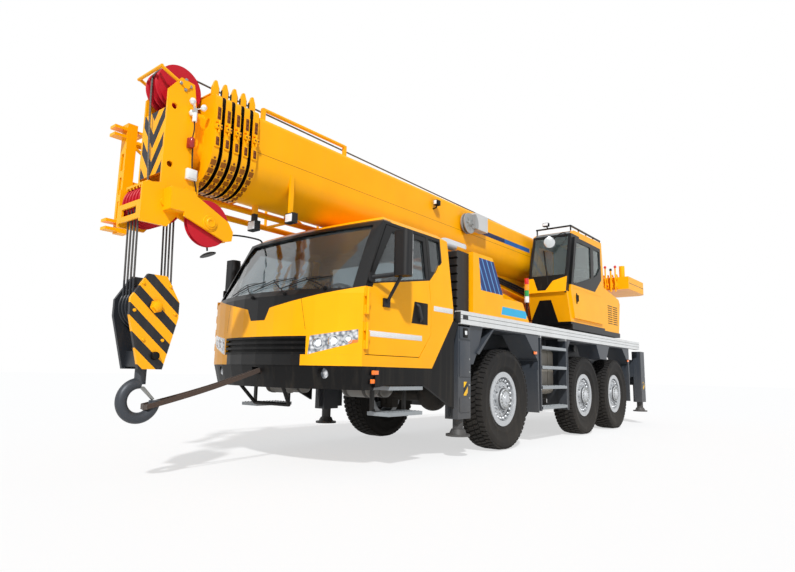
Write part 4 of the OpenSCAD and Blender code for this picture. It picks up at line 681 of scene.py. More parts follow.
# Outriggers: box beams that slide in crosswise housings, jack legs with round floats, all grey, with a
# striped plate and a row of bolts on each sleeve, and covers and a small lamp bolted on the front ones.
dress(grey_coat, "outrigger_housings")
hazard = marked(coated("hazard_stripes", tint(247, 190, 12), gloss=0.3, dust=0.1),
                (tint(22, 22, 24), stripes((0.7071, 0, 0.7071), 0.105)))
leg_finish = coated("leg_finish", tint(52, 56, 62), gloss=0.45, dust=0.3)
sleeve_lens = coated("sleeve_lens", tint(226, 228, 230), gloss=0.15, dust=0.0, relief=0.0, clear=0.5)
front_x, front_mark_x, mark_z, bolt_z = 2.18, 2.15, 0.83, 1.2
for corner in ("fl", "fr", "rl", "rr"):
    hand, front = (1 if corner[1] == "l" else -1), corner[0] == "f"
    beam, body = "beam_" + corner, "outrigger_" + corner
    dress(grey_coat, beam)
    dress(leg_finish, "jack_" + corner)
    mark_x = front_mark_x if front else sum(end.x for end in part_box(beam)) / 2
    y = on_face(beam, mark_x, mark_z, hand, 0.001, 0.003)
    made("sleeve_mark_" + corner, [slab(about(mark_x, 0.045), y, (0.75, 0.92), 0.0012)], hazard, body)
    if front:
        y = on_face(beam, front_x, 1.3, hand, 0.002, 0.010)
        covers = [slab(about(front_x, half), y, z, 0.004)
                  for half, z in ((0.12, (0.98, 1.42)), (0.12, (1.445, 1.60)), (0.11, (0.55, 0.73)))]
        made("sleeve_cover_" + corner, covers, grey_coat, body)
        y = on_face(beam, front_x, 1.3, hand, -0.006, 0.022)
        made("sleeve_lamp_case_" + corner, [slab(about(front_x, 0.05), y, (1.465, 1.585), 0.008)], black_trim,
             body)
        y = on_face(beam, front_x, 1.3, hand, -0.020, 0.026)
        made("sleeve_lamp_" + corner, [slab(about(front_x, 0.025), y, (1.50, 1.55), 0.003)], sleeve_lens,
             body)
    bolt_x = mark_x - 0.075
    repeated("sleeve_bolts_" + corner, [knob((0, 0, 0), (0, hand, 0), 0.011, 0.015, 0.012, 0.008, 0.002)], 4,
             zinc, body, step=(0, 0, -0.16),
             centre=(bolt_x, side_y(beam, bolt_x, bolt_z, hand), bolt_z))

# Tail lamps and air tanks: round red, amber and clear lenses on the tail bar's bosses, and pressed
# air tanks hung in straps under the cab floor.
def band(inner, outer, half, at, axis, sides):
    """Flat ring round a tube."""
    return lathe([(inner, -half), (outer, -half), (outer, half), (inner, half), (inner, -half)], at, axis,
                 sides)


tail_lenses = (("red", tint(200, 20, 24), 0.935), ("amber", tint(250, 130, 12), 0.795),
               ("clear", tint(226, 228, 230), 0.655))
tail_profile = [(0, 0.014), (0.02, 0.013), (0.04, 0.009), (0.05, 0.002), (0.05, -0.004), (0, -0.004)]
for name, colour, boss_y in tail_lenses:
    shapes = []
    for y in (-boss_y, boss_y):
        hits = [touch("outrigger_housings", (-8, y, z), (1, 0, 0))[0] for z in (0.9, 1.0, 1.1, 1.2)]
        face_x = min(hit.x for hit in hits if hit)
        top, foot = (touch("outrigger_housings", (face_x + 0.004, y, z), (0, 0, way))[0].z
                     for z, way in ((3, -1), (-1, 1)))
        shapes.append(lathe(tail_profile, (face_x, y, (top + foot) / 2), (-1, 0, 0), 28))
    lens = coated("tail_" + name, colour, gloss=0.1, dust=0.0, relief=0.0, clear=0.7)
    made("tail_lens_" + name, shapes, lens, "carrier")

tank_grey = coated("tank_grey", tint(104, 102, 98), gloss=0.4, dust=0.3, metal=0.2)
tank_r, tank_z, tank_in, tank_out, hanger_top = 0.105, 0.84, 0.46, 0.90, 1.075
tank_profile = [(0, tank_in - 0.03), (0.06, tank_in - 0.02), (tank_r, tank_in + 0.03),
                (tank_r, tank_out - 0.03), (0.06, tank_out + 0.02), (0, tank_out + 0.03)]
tanks, hangers = [], []
for hand in (-1, 1):
    for tank_x in (3.22, 3.46):
        tanks.append(lathe(tank_profile, (tank_x, 0, tank_z), (0, hand, 0), 28))
        for y in (hand * 0.54, hand * 0.82):
            hangers.append(band(tank_r, tank_r + 0.005, 0.02, (tank_x, y, tank_z), (0, 1, 0), 28))
            hangers.append(slab(about(tank_x, 0.02), about(y, 0.018), (tank_z + 0.09, hanger_top), 0.004))
made("air_tanks", tanks, tank_grey, "carrier")
made("air_tank_straps", hangers, cast_steel, "carrier")

# Driver's cab shell: pressed steel panels, spot welded and sprayed amber, with black enamel round
# the windscreen and side windows and a grey lining inside.
def amber_coat(name):
    return coated(name, tint(253, 174, 0), gloss=0.4, dust=0.1, height=1.3, streaks=0.03, relief=0.0,
                  clear=0.05, shine=0.22)


enamel = tint(13, 14, 16)
screen_slope = ((1, 0, 0.525), 4.928)
screen_rim = either(beyond(screen_slope, ((0, 0, -1), -2.69), ((0, -0.19, 1), 1.64)),
                    beyond(screen_slope, ((0, -1.9, 1), 1.317), ((0, 0, 1), 1.545), ((0, 0, -1), -2.0)))
window_rim = beyond(((0, 1, 0), 1.0), ((0.167, 0, 1), 2.576), ((0, 0, -1), -2.66), ((1, 0, 0), 2.61),
                    ((0.92, 0, 1), 4.76))
lining = beyond(((0, -1, 0), -1.236), ((0, -1, -0.168), -1.535), ((0, 0, -1), -2.715), ((1, 0, 0), 2.47),
                ((-1, 0, 0), -3.95), ((-1, -0.05, -0.726), -5.575), ((0, 0, 1), 1.09))
grille_back = within(x=(4.0, 5), y=(-1, 0.63), z=(0, 1.18))
nose_seam = beyond(((1, 0, 0), 4.0), ((0, 1, 0.2), 0.962), ((0, -1, -0.2), -0.967), ((0, 0, 1), 1.435),
                   ((0, 0.19, -1), -1.64))
cab_paint = marked(amber_coat("cab_paint"), (tint(96, 99, 104), lining), (enamel, screen_rim),
                   (enamel, window_rim), (enamel, grille_back), (tint(120, 76, 0), nose_seam))
dress(cab_paint, "cab_shell")

# Bumper, grille, side skirts and tube step: black moulded plastic and bent tube, bolted to
# the cab's floor pan.
dress(black_trim, "cab_front")

# Lamps: clear moulded headlamps over chromed bowls with an amber turn lamp at the outer end,
# round fog lamps in the bumper and two amber beacons on the roof.
def solids_of(node):
    """Each separate solid of a CAD node as its own shape."""
    source = bmesh.new()
    source.from_mesh(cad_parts[node].data)
    bmesh.ops.remove_doubles(source, verts=source.verts, dist=1e-5)
    left, shapes = dict.fromkeys(source.verts), []
    while left:
        todo, group = [left.popitem()[0]], []
        while todo:
            vert = todo.pop()
            group.append(vert)
            for edge in vert.link_edges:
                other = edge.other_vert(vert)
                if other in left:
                    del left[other]
                    todo.append(other)
        shape = bmesh.new()
        twin = {vert: shape.verts.new(vert.co) for vert in group}
        for face in dict.fromkeys(face for vert in group for face in vert.link_faces):
            shape.faces.new([twin[vert] for vert in face.verts])
        shapes.append(shape)
    source.free()
    return shapes


def middle_of(shape):
    return sum((vert.co for vert in shape.verts), Vector()) / len(shape.verts)


chrome = coated("chrome", tint(222, 224, 226), gloss=0.08, dust=0.0, streaks=0.0, metal=1.0, relief=0.0)
clear_lens = coated("clear_lens", tint(214, 219, 224), gloss=0.06, dust=0.03, metal=0.3, relief=0.0,
                    clear=1.0)
tree = clear_lens.node_tree
# Painted glints: bright and dark facets in the lenses' colour stand in for light caught in the moulded glass;
# the turn lamps are plain amber.
glint_cells = wire(tree, "ShaderNodeTexVoronoi", Vector=spot(tree, mirrored=False), Scale=26.0)
glint_facets = wire(tree, "ShaderNodeValToRGB", Fac=glint_cells.outputs["Distance"])
bright, dim = glint_facets.color_ramp.elements
bright.color, dim.color, dim.position = tint(246, 248, 250), tint(96, 102, 110), 0.75
turn_lamp = within(y=(1.13, 1.3), z=(1.0, 1.33))(tree, spot(tree))
turn_lamp = wire(tree, "ShaderNodeMix", i0=turn_lamp, i6=glint_facets.outputs[0], i7=tint(240, 128, 30))
turn_lamp.data_type = "RGBA"
tree.links.new(turn_lamp.outputs[2], tree.nodes["weather"].inputs["Coat"])
beacon_lens = coated("beacon_lens", tint(240, 96, 14), gloss=0.1, dust=0.03, clear=0.6)
groups = {"headlamps": [], "beacons": [], "fog_lamps": []}
roof_least_z, headlamp_least_z = 2, 1.1
for shape in solids_of("cab_lamps"):
    z = middle_of(shape).z
    name = "beacons" if z > roof_least_z else "headlamps" if z > headlamp_least_z else "fog_lamps"
    groups[name].append(shape)
for name, shapes in groups.items():
    piece = made(name, shapes, beacon_lens if name == "beacons" else clear_lens, "carrier")
    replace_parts(piece, "cab_lamps")
bowls, bulb_glints = [], []
for hand in (-1, 1):
    for y, z, radius in ((0.83, 1.295, 0.062), (0.99, 1.315, 0.062), (1.13, 1.335, 0.045)):
        at, out = touch("cab_lamps", (6, hand * y, z), (-1, 0, 0))
        bowls.append(lathe([(radius, -0.004), (radius, 0.007), (radius * 0.86, 0.009), (radius * 0.8, 0.002),
                            (radius * 0.8, -0.004)], at, out, 28))
        bulb_glints.append(lathe([(0, 0.010), (radius * 0.35, 0.008), (radius * 0.55, 0.003),
                            (radius * 0.55, -0.004), (0, -0.004)], at, out, 24))
made("lamp_rings", bowls, chrome, "carrier")
# The bulbs are near-white domes in the bowls: painted glints.
lamp_bulb = coated("lamp_bulb", tint(240, 243, 246), gloss=0.05, dust=0.0, clear=1.0, relief=0.0)
made("lamp_bulbs", bulb_glints, lamp_bulb, "carrier")

# Windscreen and back window: bonded tinted safety glass, with three wipers of black steel arms and
# rubber blades parked low on the windscreen.
def tinted(name, colour, through):
    """Glass with a thin film of dust that dulls it here and there."""
    material = bpy.data.materials.new(name)
    material.use_nodes = True
    tree = material.node_tree
    pane = tree.nodes["Principled BSDF"]
    film = wire(tree, "ShaderNodeTexNoise", Vector=spot(tree, mirrored=False), Scale=5.0,
                Detail=5.0).outputs["Fac"]
    film = wire(tree, "ShaderNodeMapRange", Value=film, i1=0.35, i2=0.75, i3=0.02, i4=0.07).outputs[0]
    tree.links.new(film, pane.inputs["Roughness"])
    pane.inputs["Base Color"].default_value = colour
    pane.inputs["Transmission Weight"].default_value = through
    pane.inputs["IOR"].default_value = 1.45
    return material


def on_screen(y, z, lift):
    """A point just off the windscreen or the enamel under it."""
    hits = [hit for hit in (touch(node, (6, y, z), (-1, 0, 0))
                            for node in ("cab_glass", "cab_shell")) if hit[0]]
    at, out = max(hits, key=lambda hit: hit[0].x)
    return at + out * lift


dress(tinted("screen_glass", tint(164, 174, 178), 0.94), "cab_glass")
wipers = ((-0.09, 1.80, -0.40, 1.965), (0.40, 1.81, 0.09, 1.975), (0.86, 1.855, 0.56, 1.97))
pivot_profile = [(0, 0.024), (0.014, 0.022), (0.02, 0.012), (0.02, -0.012), (0, -0.012)]
blade_step, screen_half, bridge_lift = 0.06, 0.93, Vector((0.014, 0, 0.008))
arms, blades = [], []
for pivot_y, pivot_z, end_y, end_z in wipers:
    foot, tip = on_screen(pivot_y, pivot_z, 0.012), on_screen(end_y, end_z, 0.034)
    elbow = foot.lerp(tip, 0.35) + Vector((0.03, 0, 0.016))
    arms.append(lathe(pivot_profile, foot, (0.85, 0, 0.5), 14))
    arms.append(pipe([foot + Vector((0.012, 0, 0.008)), elbow, tip], 0.006, 6))
    edge = [on_screen(end_y + k * blade_step, end_z - 0.006 * abs(k) + 0.012 * k, 0.012) for k in range(-5, 6)
            if abs(end_y + k * blade_step) < screen_half]
    blades.append(pipe(edge, 0.0065, 6))
    blades.append(pipe([edge[2] + bridge_lift, tip + Vector((0.006, 0, 0.004)), edge[-3] + bridge_lift],
                       0.004, 6))
made("wiper_arms", arms, black_trim, "carrier")
made("wiper_blades", blades, black_rubber, "carrier")

# Cab inside: two sprung seats with foam cushions in dark woven cloth on black pedestals, a moulded
# instrument panel across the front and a steering wheel. The cushions are crowned in code.
def pillow(low, high, lean=0.0, channels=0):
    """Crowned closed cushion in a box, tilted about its own width, with sewn channels across it."""
    cuts, crown, channel_depth = 12, 0.55, 0.05
    mesh = bmesh.new()
    bmesh.ops.create_cube(mesh, size=2)
    bmesh.ops.subdivide_edges(mesh, edges=mesh.edges[:], cuts=cuts, use_grid_fill=True)
    middle, half = (Vector(high) + Vector(low)) / 2, (Vector(high) - Vector(low)) / 2
    for vert in mesh.verts:
        flat = vert.co.copy()
        puffed = []
        for n in range(3):
            one, two = flat[n - 1] ** 2, flat[n - 2] ** 2
            puffed.append(flat[n] * math.sqrt(max(0.0, 1 - crown * (one / 2 + two / 2 - one * two / 3))))
        if channels and abs(flat.z) > 0.98 and math.cos(flat.y * math.pi * channels) > 0.9:
            puffed[2] *= 1 - channel_depth
        vert.co = [middle[n] + puffed[n] * half[n] for n in range(3)]
    bmesh.ops.rotate(mesh, verts=mesh.verts, cent=middle, matrix=Matrix.Rotation(lean, 3, "Y"))
    return mesh


def cushions(x, y, z, *pads):
    """Cushions of one seat, each from its reach ahead, half width, reach up, lean and channels."""
    return [pillow((x + back, y - half, z + foot), (x + front, y + half, z + top), lean, channels)
            for (back, front), half, (foot, top), lean, channels in pads]


def woven(name, colour):
    """Cloth: a fine over and under weave with sheen."""
    material = coated(name, colour, gloss=0.85, dust=0.0, streaks=0.0)
    tree = material.node_tree
    threads = wire(tree, "ShaderNodeMapping", Vector=spot(tree, mirrored=False), Scale=(900, 900, 900))
    threads = wire(tree, "ShaderNodeSeparateXYZ", Vector=threads.outputs[0])
    along = maths(tree, "ADD", threads.outputs["X"], threads.outputs["Z"])
    embossed(tree, maths(tree, "MULTIPLY", maths(tree, "SINE", threads.outputs["Y"]),
                         maths(tree, "SINE", along)), 0.4, 0.001)
    tree.nodes["Principled BSDF"].inputs["Sheen Weight"].default_value = 0.3
    return material


seat_cloth = woven("seat_cloth", tint(52, 55, 60))
dash_skin = coated("dash_skin", tint(46, 48, 52), gloss=0.6, dust=0.05, height=3.0, relief=0.5)
floor_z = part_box("cab_interior")[0].z
seat_x, back_lean = 3.218, -0.13
stands, pads = [], []
for y in (-0.62, 0.62):
    stands.append(slab(about(seat_x, 0.2), about(y, 0.2), (floor_z, floor_z + 0.27), 0.02))
    stands.append(slab((seat_x - 0.245, seat_x + 0.25), about(y, 0.235), (floor_z + 0.25, floor_z + 0.31),
                       0.02))
    pads += cushions(seat_x, y, floor_z, ((-0.25, 0.26), 0.245, (0.29, 0.43), 0.0, 3),
                     ((-0.315, -0.175), 0.23, (0.40, 0.96), back_lean, 3),
                     ((-0.36, -0.265), 0.13, (0.95, 1.12), back_lean, 0))
seat_pads = made("cab_seat_cushions", pads, seat_cloth, "carrier", 80)
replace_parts(seat_pads, "cab_interior")
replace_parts(made("cab_seat_frames", stands, black_trim, "carrier"), "cab_interior")
panel_least_x = 3.45
panel = [shape for shape in solids_of("cab_interior") if middle_of(shape).x > panel_least_x]
panel += [pillow((3.80, -1.13, 1.70), (4.0, 1.13, 1.80)),
          block((3.775, 0.42, 1.62), (3.80, 0.82, 1.77), 0.01),
          block((3.77, -0.3, 1.5), (3.80, 0.3, 1.72), 0.012)]
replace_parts(made("cab_dashboard", panel, dash_skin, "carrier"), "cab_interior")

# Doors: pressed steel panels hinged at the front, with tinted panes in black frames, a grey pull
# handle on a black plate and white reflective strips on them and on the cab's corners.
strip_white = marked(coated("strip_white", tint(232, 230, 226), gloss=0.35, dust=0.1),
                     (tint(196, 196, 198), stripes((1, 0, 1), 0.02, 0.4)))
door_glass = tinted("door_glass", tint(172, 182, 186), 0.95)
pane_least_z = 2.0
for side, hand in hands:
    body = "door_" + side
    panes, panels = [], []
    for shape in solids_of(body):
        (panes if middle_of(shape).z > pane_least_z else panels).append(shape)
    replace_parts(made("panel_" + body, panels, cab_paint, body), body)
    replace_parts(made("pane_" + body, panes, door_glass, body), body)
    y = on_face(body, 3.4, 1.41, hand, 0.002, 0.0025)
    made("strip_" + body, [slab((3.09, 3.99), y, (1.372, 1.43), 0.001)], strip_white, body)
    y = on_face("cab_shell", 2.66, 1.766, hand, 0.002, 0.0025)
    made("strip_corner_" + side, [slab((2.46, 2.86), y, (1.735, 1.795), 0.001)], strip_white, "carrier")
    skin_y, grip_y = on_face(body, 3.4, 1.62, hand, 0.0, 0.03)
    grip = [(3.19, skin_y, 1.775), (3.185, grip_y, 1.755), (3.13, grip_y, 1.615), (3.125, skin_y, 1.59)]
    made("handle_" + body, [pipe(grip, 0.014, 8)], dash_skin, body)
    grip_plate = [(2.985, 1.56), (3.285, 1.56), (3.235, 1.805), (2.985, 1.805)]
    made("handle_plate_" + body, [prism(grip_plate, *on_face(body, 3.18, 1.5, hand, 0.003, 0.003))],
         black_trim, body)

# Mirrors: black moulded housings on bent arms from the doors, braced by short brackets, each with a main
# glass and a wide-angle one above it, and a small round mirror on a stalk from the cab's right roof edge.
mirror_black = coated("mirror_black", tint(24, 25, 27), gloss=0.5, dust=0.0, shine=0.3)
dress(mirror_black, "mirror_left", "mirror_right")
for side, hand in hands:
    low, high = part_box("mirror_" + side)
    outer_y = high.y if hand > 0 else low.y
    y, glass_x = (outer_y - hand * 0.16, outer_y - hand * 0.02), (low.x - 0.003, low.x + 0.01)
    made("mirror_glass_" + side, [slab(glass_x, y, z, 0.003) for z in ((2.03, 2.27), (2.285, 2.45))], chrome,
         "door_" + side)
    foot, root = Vector((low.x + 0.07, hand * 1.43, 2.03)), Vector((3.97, hand * 1.262, 1.975))
    pad = slab((root.x - 0.05, root.x + 0.04), about(root.y, 0.014), about(root.z, 0.045), 0.01)
    made("mirror_bracket_" + side, [pipe([foot, root], 0.024, 12), pad], mirror_black, "door_" + side)
roof_at, _ = touch("cab_shell", (3.62, -1.02, 4), (0, 0, -1))
stalk = curve_through([roof_at + Vector((0, 0, -0.01)), roof_at + Vector((0.06, -0.03, 0.035)),
                       (4.0, -1.1, 2.735), (4.30, -1.15, 2.66), (4.37, -1.15, 2.60), (4.36, -1.15, 2.47)])
dish = [(0, 0.03), (0.06, 0.024), (0.098, 0.008), (0.102, 0.0), (0.098, -0.006), (0, -0.006)]
made("round_mirror", [pipe(stalk, 0.011, 8), lathe(dish, (4.345, -1.15, 2.42), (0.3, -0.2, 0.93), 28)],
     mirror_black, "carrier")

# Engine cover: sheet-metal hood, hinged over the engine on the left of the deck, amber
# with a slanted blue panel of stripes, and a cyan band along its tail.
hood_side = ((0, 1, 0), 1.2)
hood_panel = beyond(hood_side, ((0, 0, 1), 2.126), ((0, 0, -1), -2.56), ((1, 0, -0.56), 1.124 - 0.56 * 2.128),
                    ((-1, 0, 0.12), -1.749 + 0.12 * 2.126))
hood_band = beyond(hood_side, ((0, 0, 1), 1.85), ((0, 0, -1), -1.965), ((1, 0, 0.3), 0.42 + 0.3 * 1.85),
                   ((-1, 0, -0.3), -1.16 - 0.3 * 1.965), ((-0.1, 0, -1), -2.09))
hood_paint = marked(amber_coat("hood_paint"), (tint(24, 52, 110), hood_panel),
                    (tint(92, 150, 205), both(hood_panel, stripes((0.87, 0, -0.5), 0.105, 0.2))),
                    (tint(40, 170, 215), hood_band), mirrored=False)
dress(hood_paint, "engine_cover")

# Intake and exhaust: black moulded air intake with ribs round it, and a chromed exhaust pipe in guard
# rings, bent back at its top, clamped to the front of the engine cover.
stack_finish = marked(coated("stack_finish", tint(26, 27, 29), gloss=0.5, dust=0.1, relief=0.2),
                      (tint(190, 192, 194), within(x=(1.9, 2.5), z=(2.60, 3))))
dress(stack_finish, "stacks")
exhaust_x, exhaust_y, mouth_at = 2.33, 0.975, (1.80, 0.975, 2.722)
repeated("exhaust_guard_rings", [band(0.058, 0.063, 0.012, (exhaust_x, exhaust_y, 0), (0, 0, 1), 24)], 6,
         chrome, "carrier", step=(0, 0, 0.13), centre=(0, 0, 1.86))
elbow = [(x, exhaust_y, z) for x, z in ((exhaust_x, 2.55), (exhaust_x, 2.62), (2.305, 2.69), (2.22, 2.722),
                                        (2.0, 2.724))]
mouth_lip = [(0.061, -0.01), (0.064, 0.0), (0.061, 0.01), (0.05, 0.01), (0.05, -0.01), (0.061, -0.01)]
made("exhaust_elbow", [pipe(curve_through(elbow + [mouth_at]), 0.0585, 20),
                       lathe(mouth_lip, mouth_at, (1, 0, 0), 24)], chrome, "carrier")
# A dark disc closes the pipe's mouth: painted shade for its hollow inside.
mouth_shade_disc = [(0, 0.0015), (0.05, 0.0015), (0.05, -0.004), (0, -0.004)]
made("exhaust_mouth", [lathe(mouth_shade_disc, mouth_at, (-1, 0, 0), 24)], cast_steel, "carrier")

# Load signal tower: a post on the deck rail with red, amber, green and clear lamps stacked on it,
# which shows the load from afar.
tower_at = Vector((0.205, 1.15, 1.80))
tower_foot = [(0, 0.0), (0.06, 0.0), (0.06, 0.012), (0.03, 0.02), (0.016, 0.03), (0, 0.03)]
made("signal_post", [pipe([tower_at + Vector((0, 0, z)) for z in (-0.02, 0.34)], 0.012, 12),
                     lathe(tower_foot, tower_at - Vector((0, 0, 0.005)), (0, 0, 1), 24)], black_trim,
     "carrier")
signals = (("clear", tint(232, 234, 234)), ("green", tint(20, 150, 70)), ("amber", tint(250, 150, 10)),
           ("red", tint(205, 24, 28)))
signal_lens = [(0, 0), (0.032, 0.0), (0.035, 0.006), (0.035, 0.078), (0.032, 0.084), (0, 0.084)]
signal_ring = [(0.036, 0.084), (0.036, 0.095), (0, 0.095), (0, 0.084), (0.036, 0.084)]
for n, (name, colour) in enumerate(signals):
    at = tower_at + Vector((0, 0, 0.33 + n * 0.095))
    lens = coated("signal_" + name, colour, gloss=0.1, dust=0.0, clear=0.7, relief=0.0)
    made("signal_lens_" + name, [lathe(shape, at, (0, 0, 1), 28) for shape in (signal_lens, signal_ring)],
         lens, "carrier")

# Slewing platform: welded amber cheek plates on the slewing ring, with a sheet-metal cover behind
# the operator's cab and two columns of black vents in it.
upper_paint = marked(amber_coat("upper_paint"), (tint(20, 21, 24), within(y=(0.41, 2), z=(1.5, 1.935))),
                     mirrored=False)
dress(upper_paint, "turntable")
cover_y = side_y("turntable", -3.7, 2.4, 1)
for column in range(2):
    repeated(f"cover_vents_{column + 1}", [block((0, -0.004, 0), (0.26, 0.006, 0.014), 0.004)], 9, black_trim,
             "upper_works", step=(0, 0, 0.045), centre=(-4.02 + column * 0.32, cover_y, 2.10))

# Operator's cab: sheet-metal shell with glass on most sides in black frames, an amber front panel with a
# notch in its top edge over black trim, a black lower front, roof guard and trim along its floor.
inside = within(x=(-3.13, -1.45), y=(0.49, 1.178), z=(1.97, 3.66))
roof_guard = either(within(z=(3.715, 4)), within(x=(-1.64, -1.5), z=(3.662, 4)))
front_frame = beyond(((1, 0, 0.30), -1.60 + 0.30 * 2.53), ((0, 0, 1), 2.50), ((0, 0, -1), -3.60))
lower_front = beyond(((1, 0, 0), -1.5), ((0, 0, 1), 1.9), ((0, 0, -1), -2.36),
                     ((0, 1, -0.62), 0.518 - 0.62 * 2.11), ((0, -1, -0.2), -0.941 - 0.2 * 2.11))
operator_paint = marked(amber_coat("operator_paint"), (tint(112, 116, 118), inside), (enamel, roof_guard),
                        (enamel, within(z=(0, 1.972))), (enamel, front_frame), (enamel, lower_front),
                        mirrored=False)
dress(operator_paint, "operator_cab")
operator_glass = tinted("operator_glass", tint(192, 212, 210), 0.96)
dress(operator_glass, "operator_glass")
front_low, front_high = (touch("operator_cab", (0, 0.48, z), (-1, 0, 0))[0] for z in (2.62, 3.30))
front_lean = (front_high.x - front_low.x) / (front_high.z - front_low.z)


def front_sheet(outline, low, high):
    """Plate with an outline of y and z that lies along the cab's leaning front."""
    return plate(*([(front_low.x + front_lean * (z - front_low.z) + lift, y, z) for y, z in outline]
                   for lift in (low, high)))


notch = [(0.462, 2.77), (0.56, 2.77), (0.665, 2.53), (0.82, 2.53), (0.94, 2.70), (1.196, 2.77)]
made("operator_front_panel", [front_sheet(notch + [(1.196, 2.49), (0.462, 2.49)], 0.003, 0.012)],
     amber_coat("front_panel_paint"), "upper_works")
made("operator_front_trim", [front_sheet(notch + [(1.19, 2.81), (0.468, 2.81)], -0.002, 0.006)], black_trim,
     "upper_works")

# Operator's door: sliding sheet-metal panel with two panes in a black frame, a sloping amber belt under
# them and a black oval handle.
pane_frame = beyond(((0, 0, 1), 2.63), ((0, 0, -1), -3.55), ((1, 0, 0), -2.93),
                    ((0.75, 0, 1), 2.63 - 0.75 * 2.55))
door_finish = marked(amber_coat("operator_door_paint"), (enamel, pane_frame), mirrored=False)
pane_most_length, pane_least_z = 1.1, 2.8
panes, panels = [], []
for shape in solids_of("operator_door"):
    xs = [vert.co.x for vert in shape.verts]
    pane = max(xs) - min(xs) < pane_most_length and middle_of(shape).z > pane_least_z
    (panes if pane else panels).append(shape)
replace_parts(made("operator_door_panel", panels, door_finish, "operator_door"), "operator_door")
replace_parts(made("operator_door_panes", panes, operator_glass, "operator_door"), "operator_door")
door_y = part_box("operator_door")[1].y
belt = [(-1.48, 2.58), (-1.54, 2.65), (-2.50, 2.90), (-2.72, 3.0), (-2.93, 3.2), (-2.93, 2.58)]
made("operator_door_belt", [prism(belt, door_y - 0.001, door_y + 0.004)], door_finish, "operator_door")
handle_x, handle_z = -1.62, 2.40
oval = [(handle_x + 0.032 * math.cos(turn), handle_z + 0.10 * math.sin(turn))
        for turn in (math.pi * k / 12 for k in range(24))]
grip = [(handle_x, door_y + lift, handle_z + rise)
        for lift, rise in ((0.004, -0.06), (0.03, -0.05), (0.03, 0.05), (0.004, 0.06))]
made("operator_door_handle", [prism(oval, door_y - 0.001, door_y + 0.006), pipe(grip, 0.010, 8)], black_trim,
     "operator_door")

# Operator's seat: sprung seat with foam cushions in the cab's cloth, between two control consoles
# with a lever on each. The cushions are crowned in code.
seat_x, seat_y, seat_z = -2.61, 0.83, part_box("operator_seat")[0].z
pads = cushions(seat_x, seat_y, seat_z, ((-0.22, 0.23), 0.225, (0.33, 0.48), 0.0, 3),
                ((-0.295, -0.155), 0.21, (0.46, 1.04), back_lean, 3),
                ((-0.34, -0.24), 0.12, (1.03, 1.21), back_lean, 0))
seat_pads = made("operator_seat_cushions", pads, seat_cloth, "upper_works", 80)
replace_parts(seat_pads, "operator_seat")
stand = [slab(about(seat_x, 0.19), about(seat_y, 0.19), (seat_z, seat_z + 0.30), 0.02),
         slab(about(seat_x, 0.225), about(seat_y, 0.225), (seat_z + 0.29, seat_z + 0.35), 0.02)]
for hand in (-1, 1):
    console_y, arm_y = ((seat_y + hand * near, seat_y + hand * far)
                        for near, far in ((0.242, 0.30), (0.20, 0.25)))
    stand.append(slab((seat_x - 0.10, seat_x + 0.30), console_y, (seat_z + 0.30, seat_z + 0.62), 0.015))
    stand.append(slab(about(seat_x, 0.06), arm_y, (seat_z + 0.30, seat_z + 0.40), 0.008))
    lever = [(seat_x + reach, seat_y + hand * 0.271, seat_z + rise)
             for reach, rise in ((0.2, 0.61), (0.21, 0.635))]
    stand.append(pipe(lever, 0.012, 10))
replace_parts(made("operator_seat_stand", stand, dash_skin, "upper_works"), "operator_seat")

# Operator's cab fittings: a roof work lamp, a round mirror on a stalk, a wiper on the front glass
# and a grab rail, all bolted on.
made("operator_lamp", [block((-1.50, 0.69, 3.765), (-1.43, 0.81, 3.835), 0.012),
                       pipe([(-1.58, 0.75, 3.745), (-1.47, 0.75, 3.775)], 0.012, 8)], black_trim,
     "upper_works")
made("operator_lamp_glass", [block((-1.432, 0.70, 3.775), (-1.424, 0.80, 3.825), 0.003)], lamp_bulb,
     "upper_works")
mirror_silver = coated("mirror_silver", tint(208, 212, 214), gloss=0.18, dust=0.0, metal=0.6, relief=0.0)
mirror_at, mirror_way = (-1.35, 0.86, 3.43), (0.85, 0.5, -0.1)
mirror_back = [(0, -0.03), (0.07, -0.026), (0.105, -0.012), (0.108, 0.0), (0.108, 0.003), (0, 0.003)]
mirror_face = [(0, 0.022), (0.05, 0.018), (0.085, 0.010), (0.104, 0.002), (0, 0.002)]
stalk = curve_through([(-1.62, 1.10, 3.62), (-1.45, 1.06, 3.60), (-1.36, 0.95, 3.50)])
made("operator_mirror_stalk", [pipe(stalk, 0.010, 8), lathe(mirror_back, mirror_at, mirror_way, 32)],
     black_trim, "upper_works")
made("operator_mirror", [lathe(mirror_face, mirror_at, mirror_way, 32)], mirror_silver, "upper_works")
rail = curve_through([(-1.53, 1.165, 3.46), (-1.50, 1.19, 3.42), (-1.27, 1.19, 2.56), (-1.26, 1.165, 2.50)])
made("operator_grab_rail", [pipe(rail, 0.012, 8)], black_trim, "upper_works")
arm = [touch("operator_glass", (0, y, z), (-1, 0, 0))[0]
       for y, z in ((0.86, 2.62), (0.78, 2.95), (0.70, 3.30))]
made("operator_wiper", [pipe([point + Vector((0.02, 0, 0.01)) for point in arm], 0.010, 6)], black_trim,
     "upper_works")

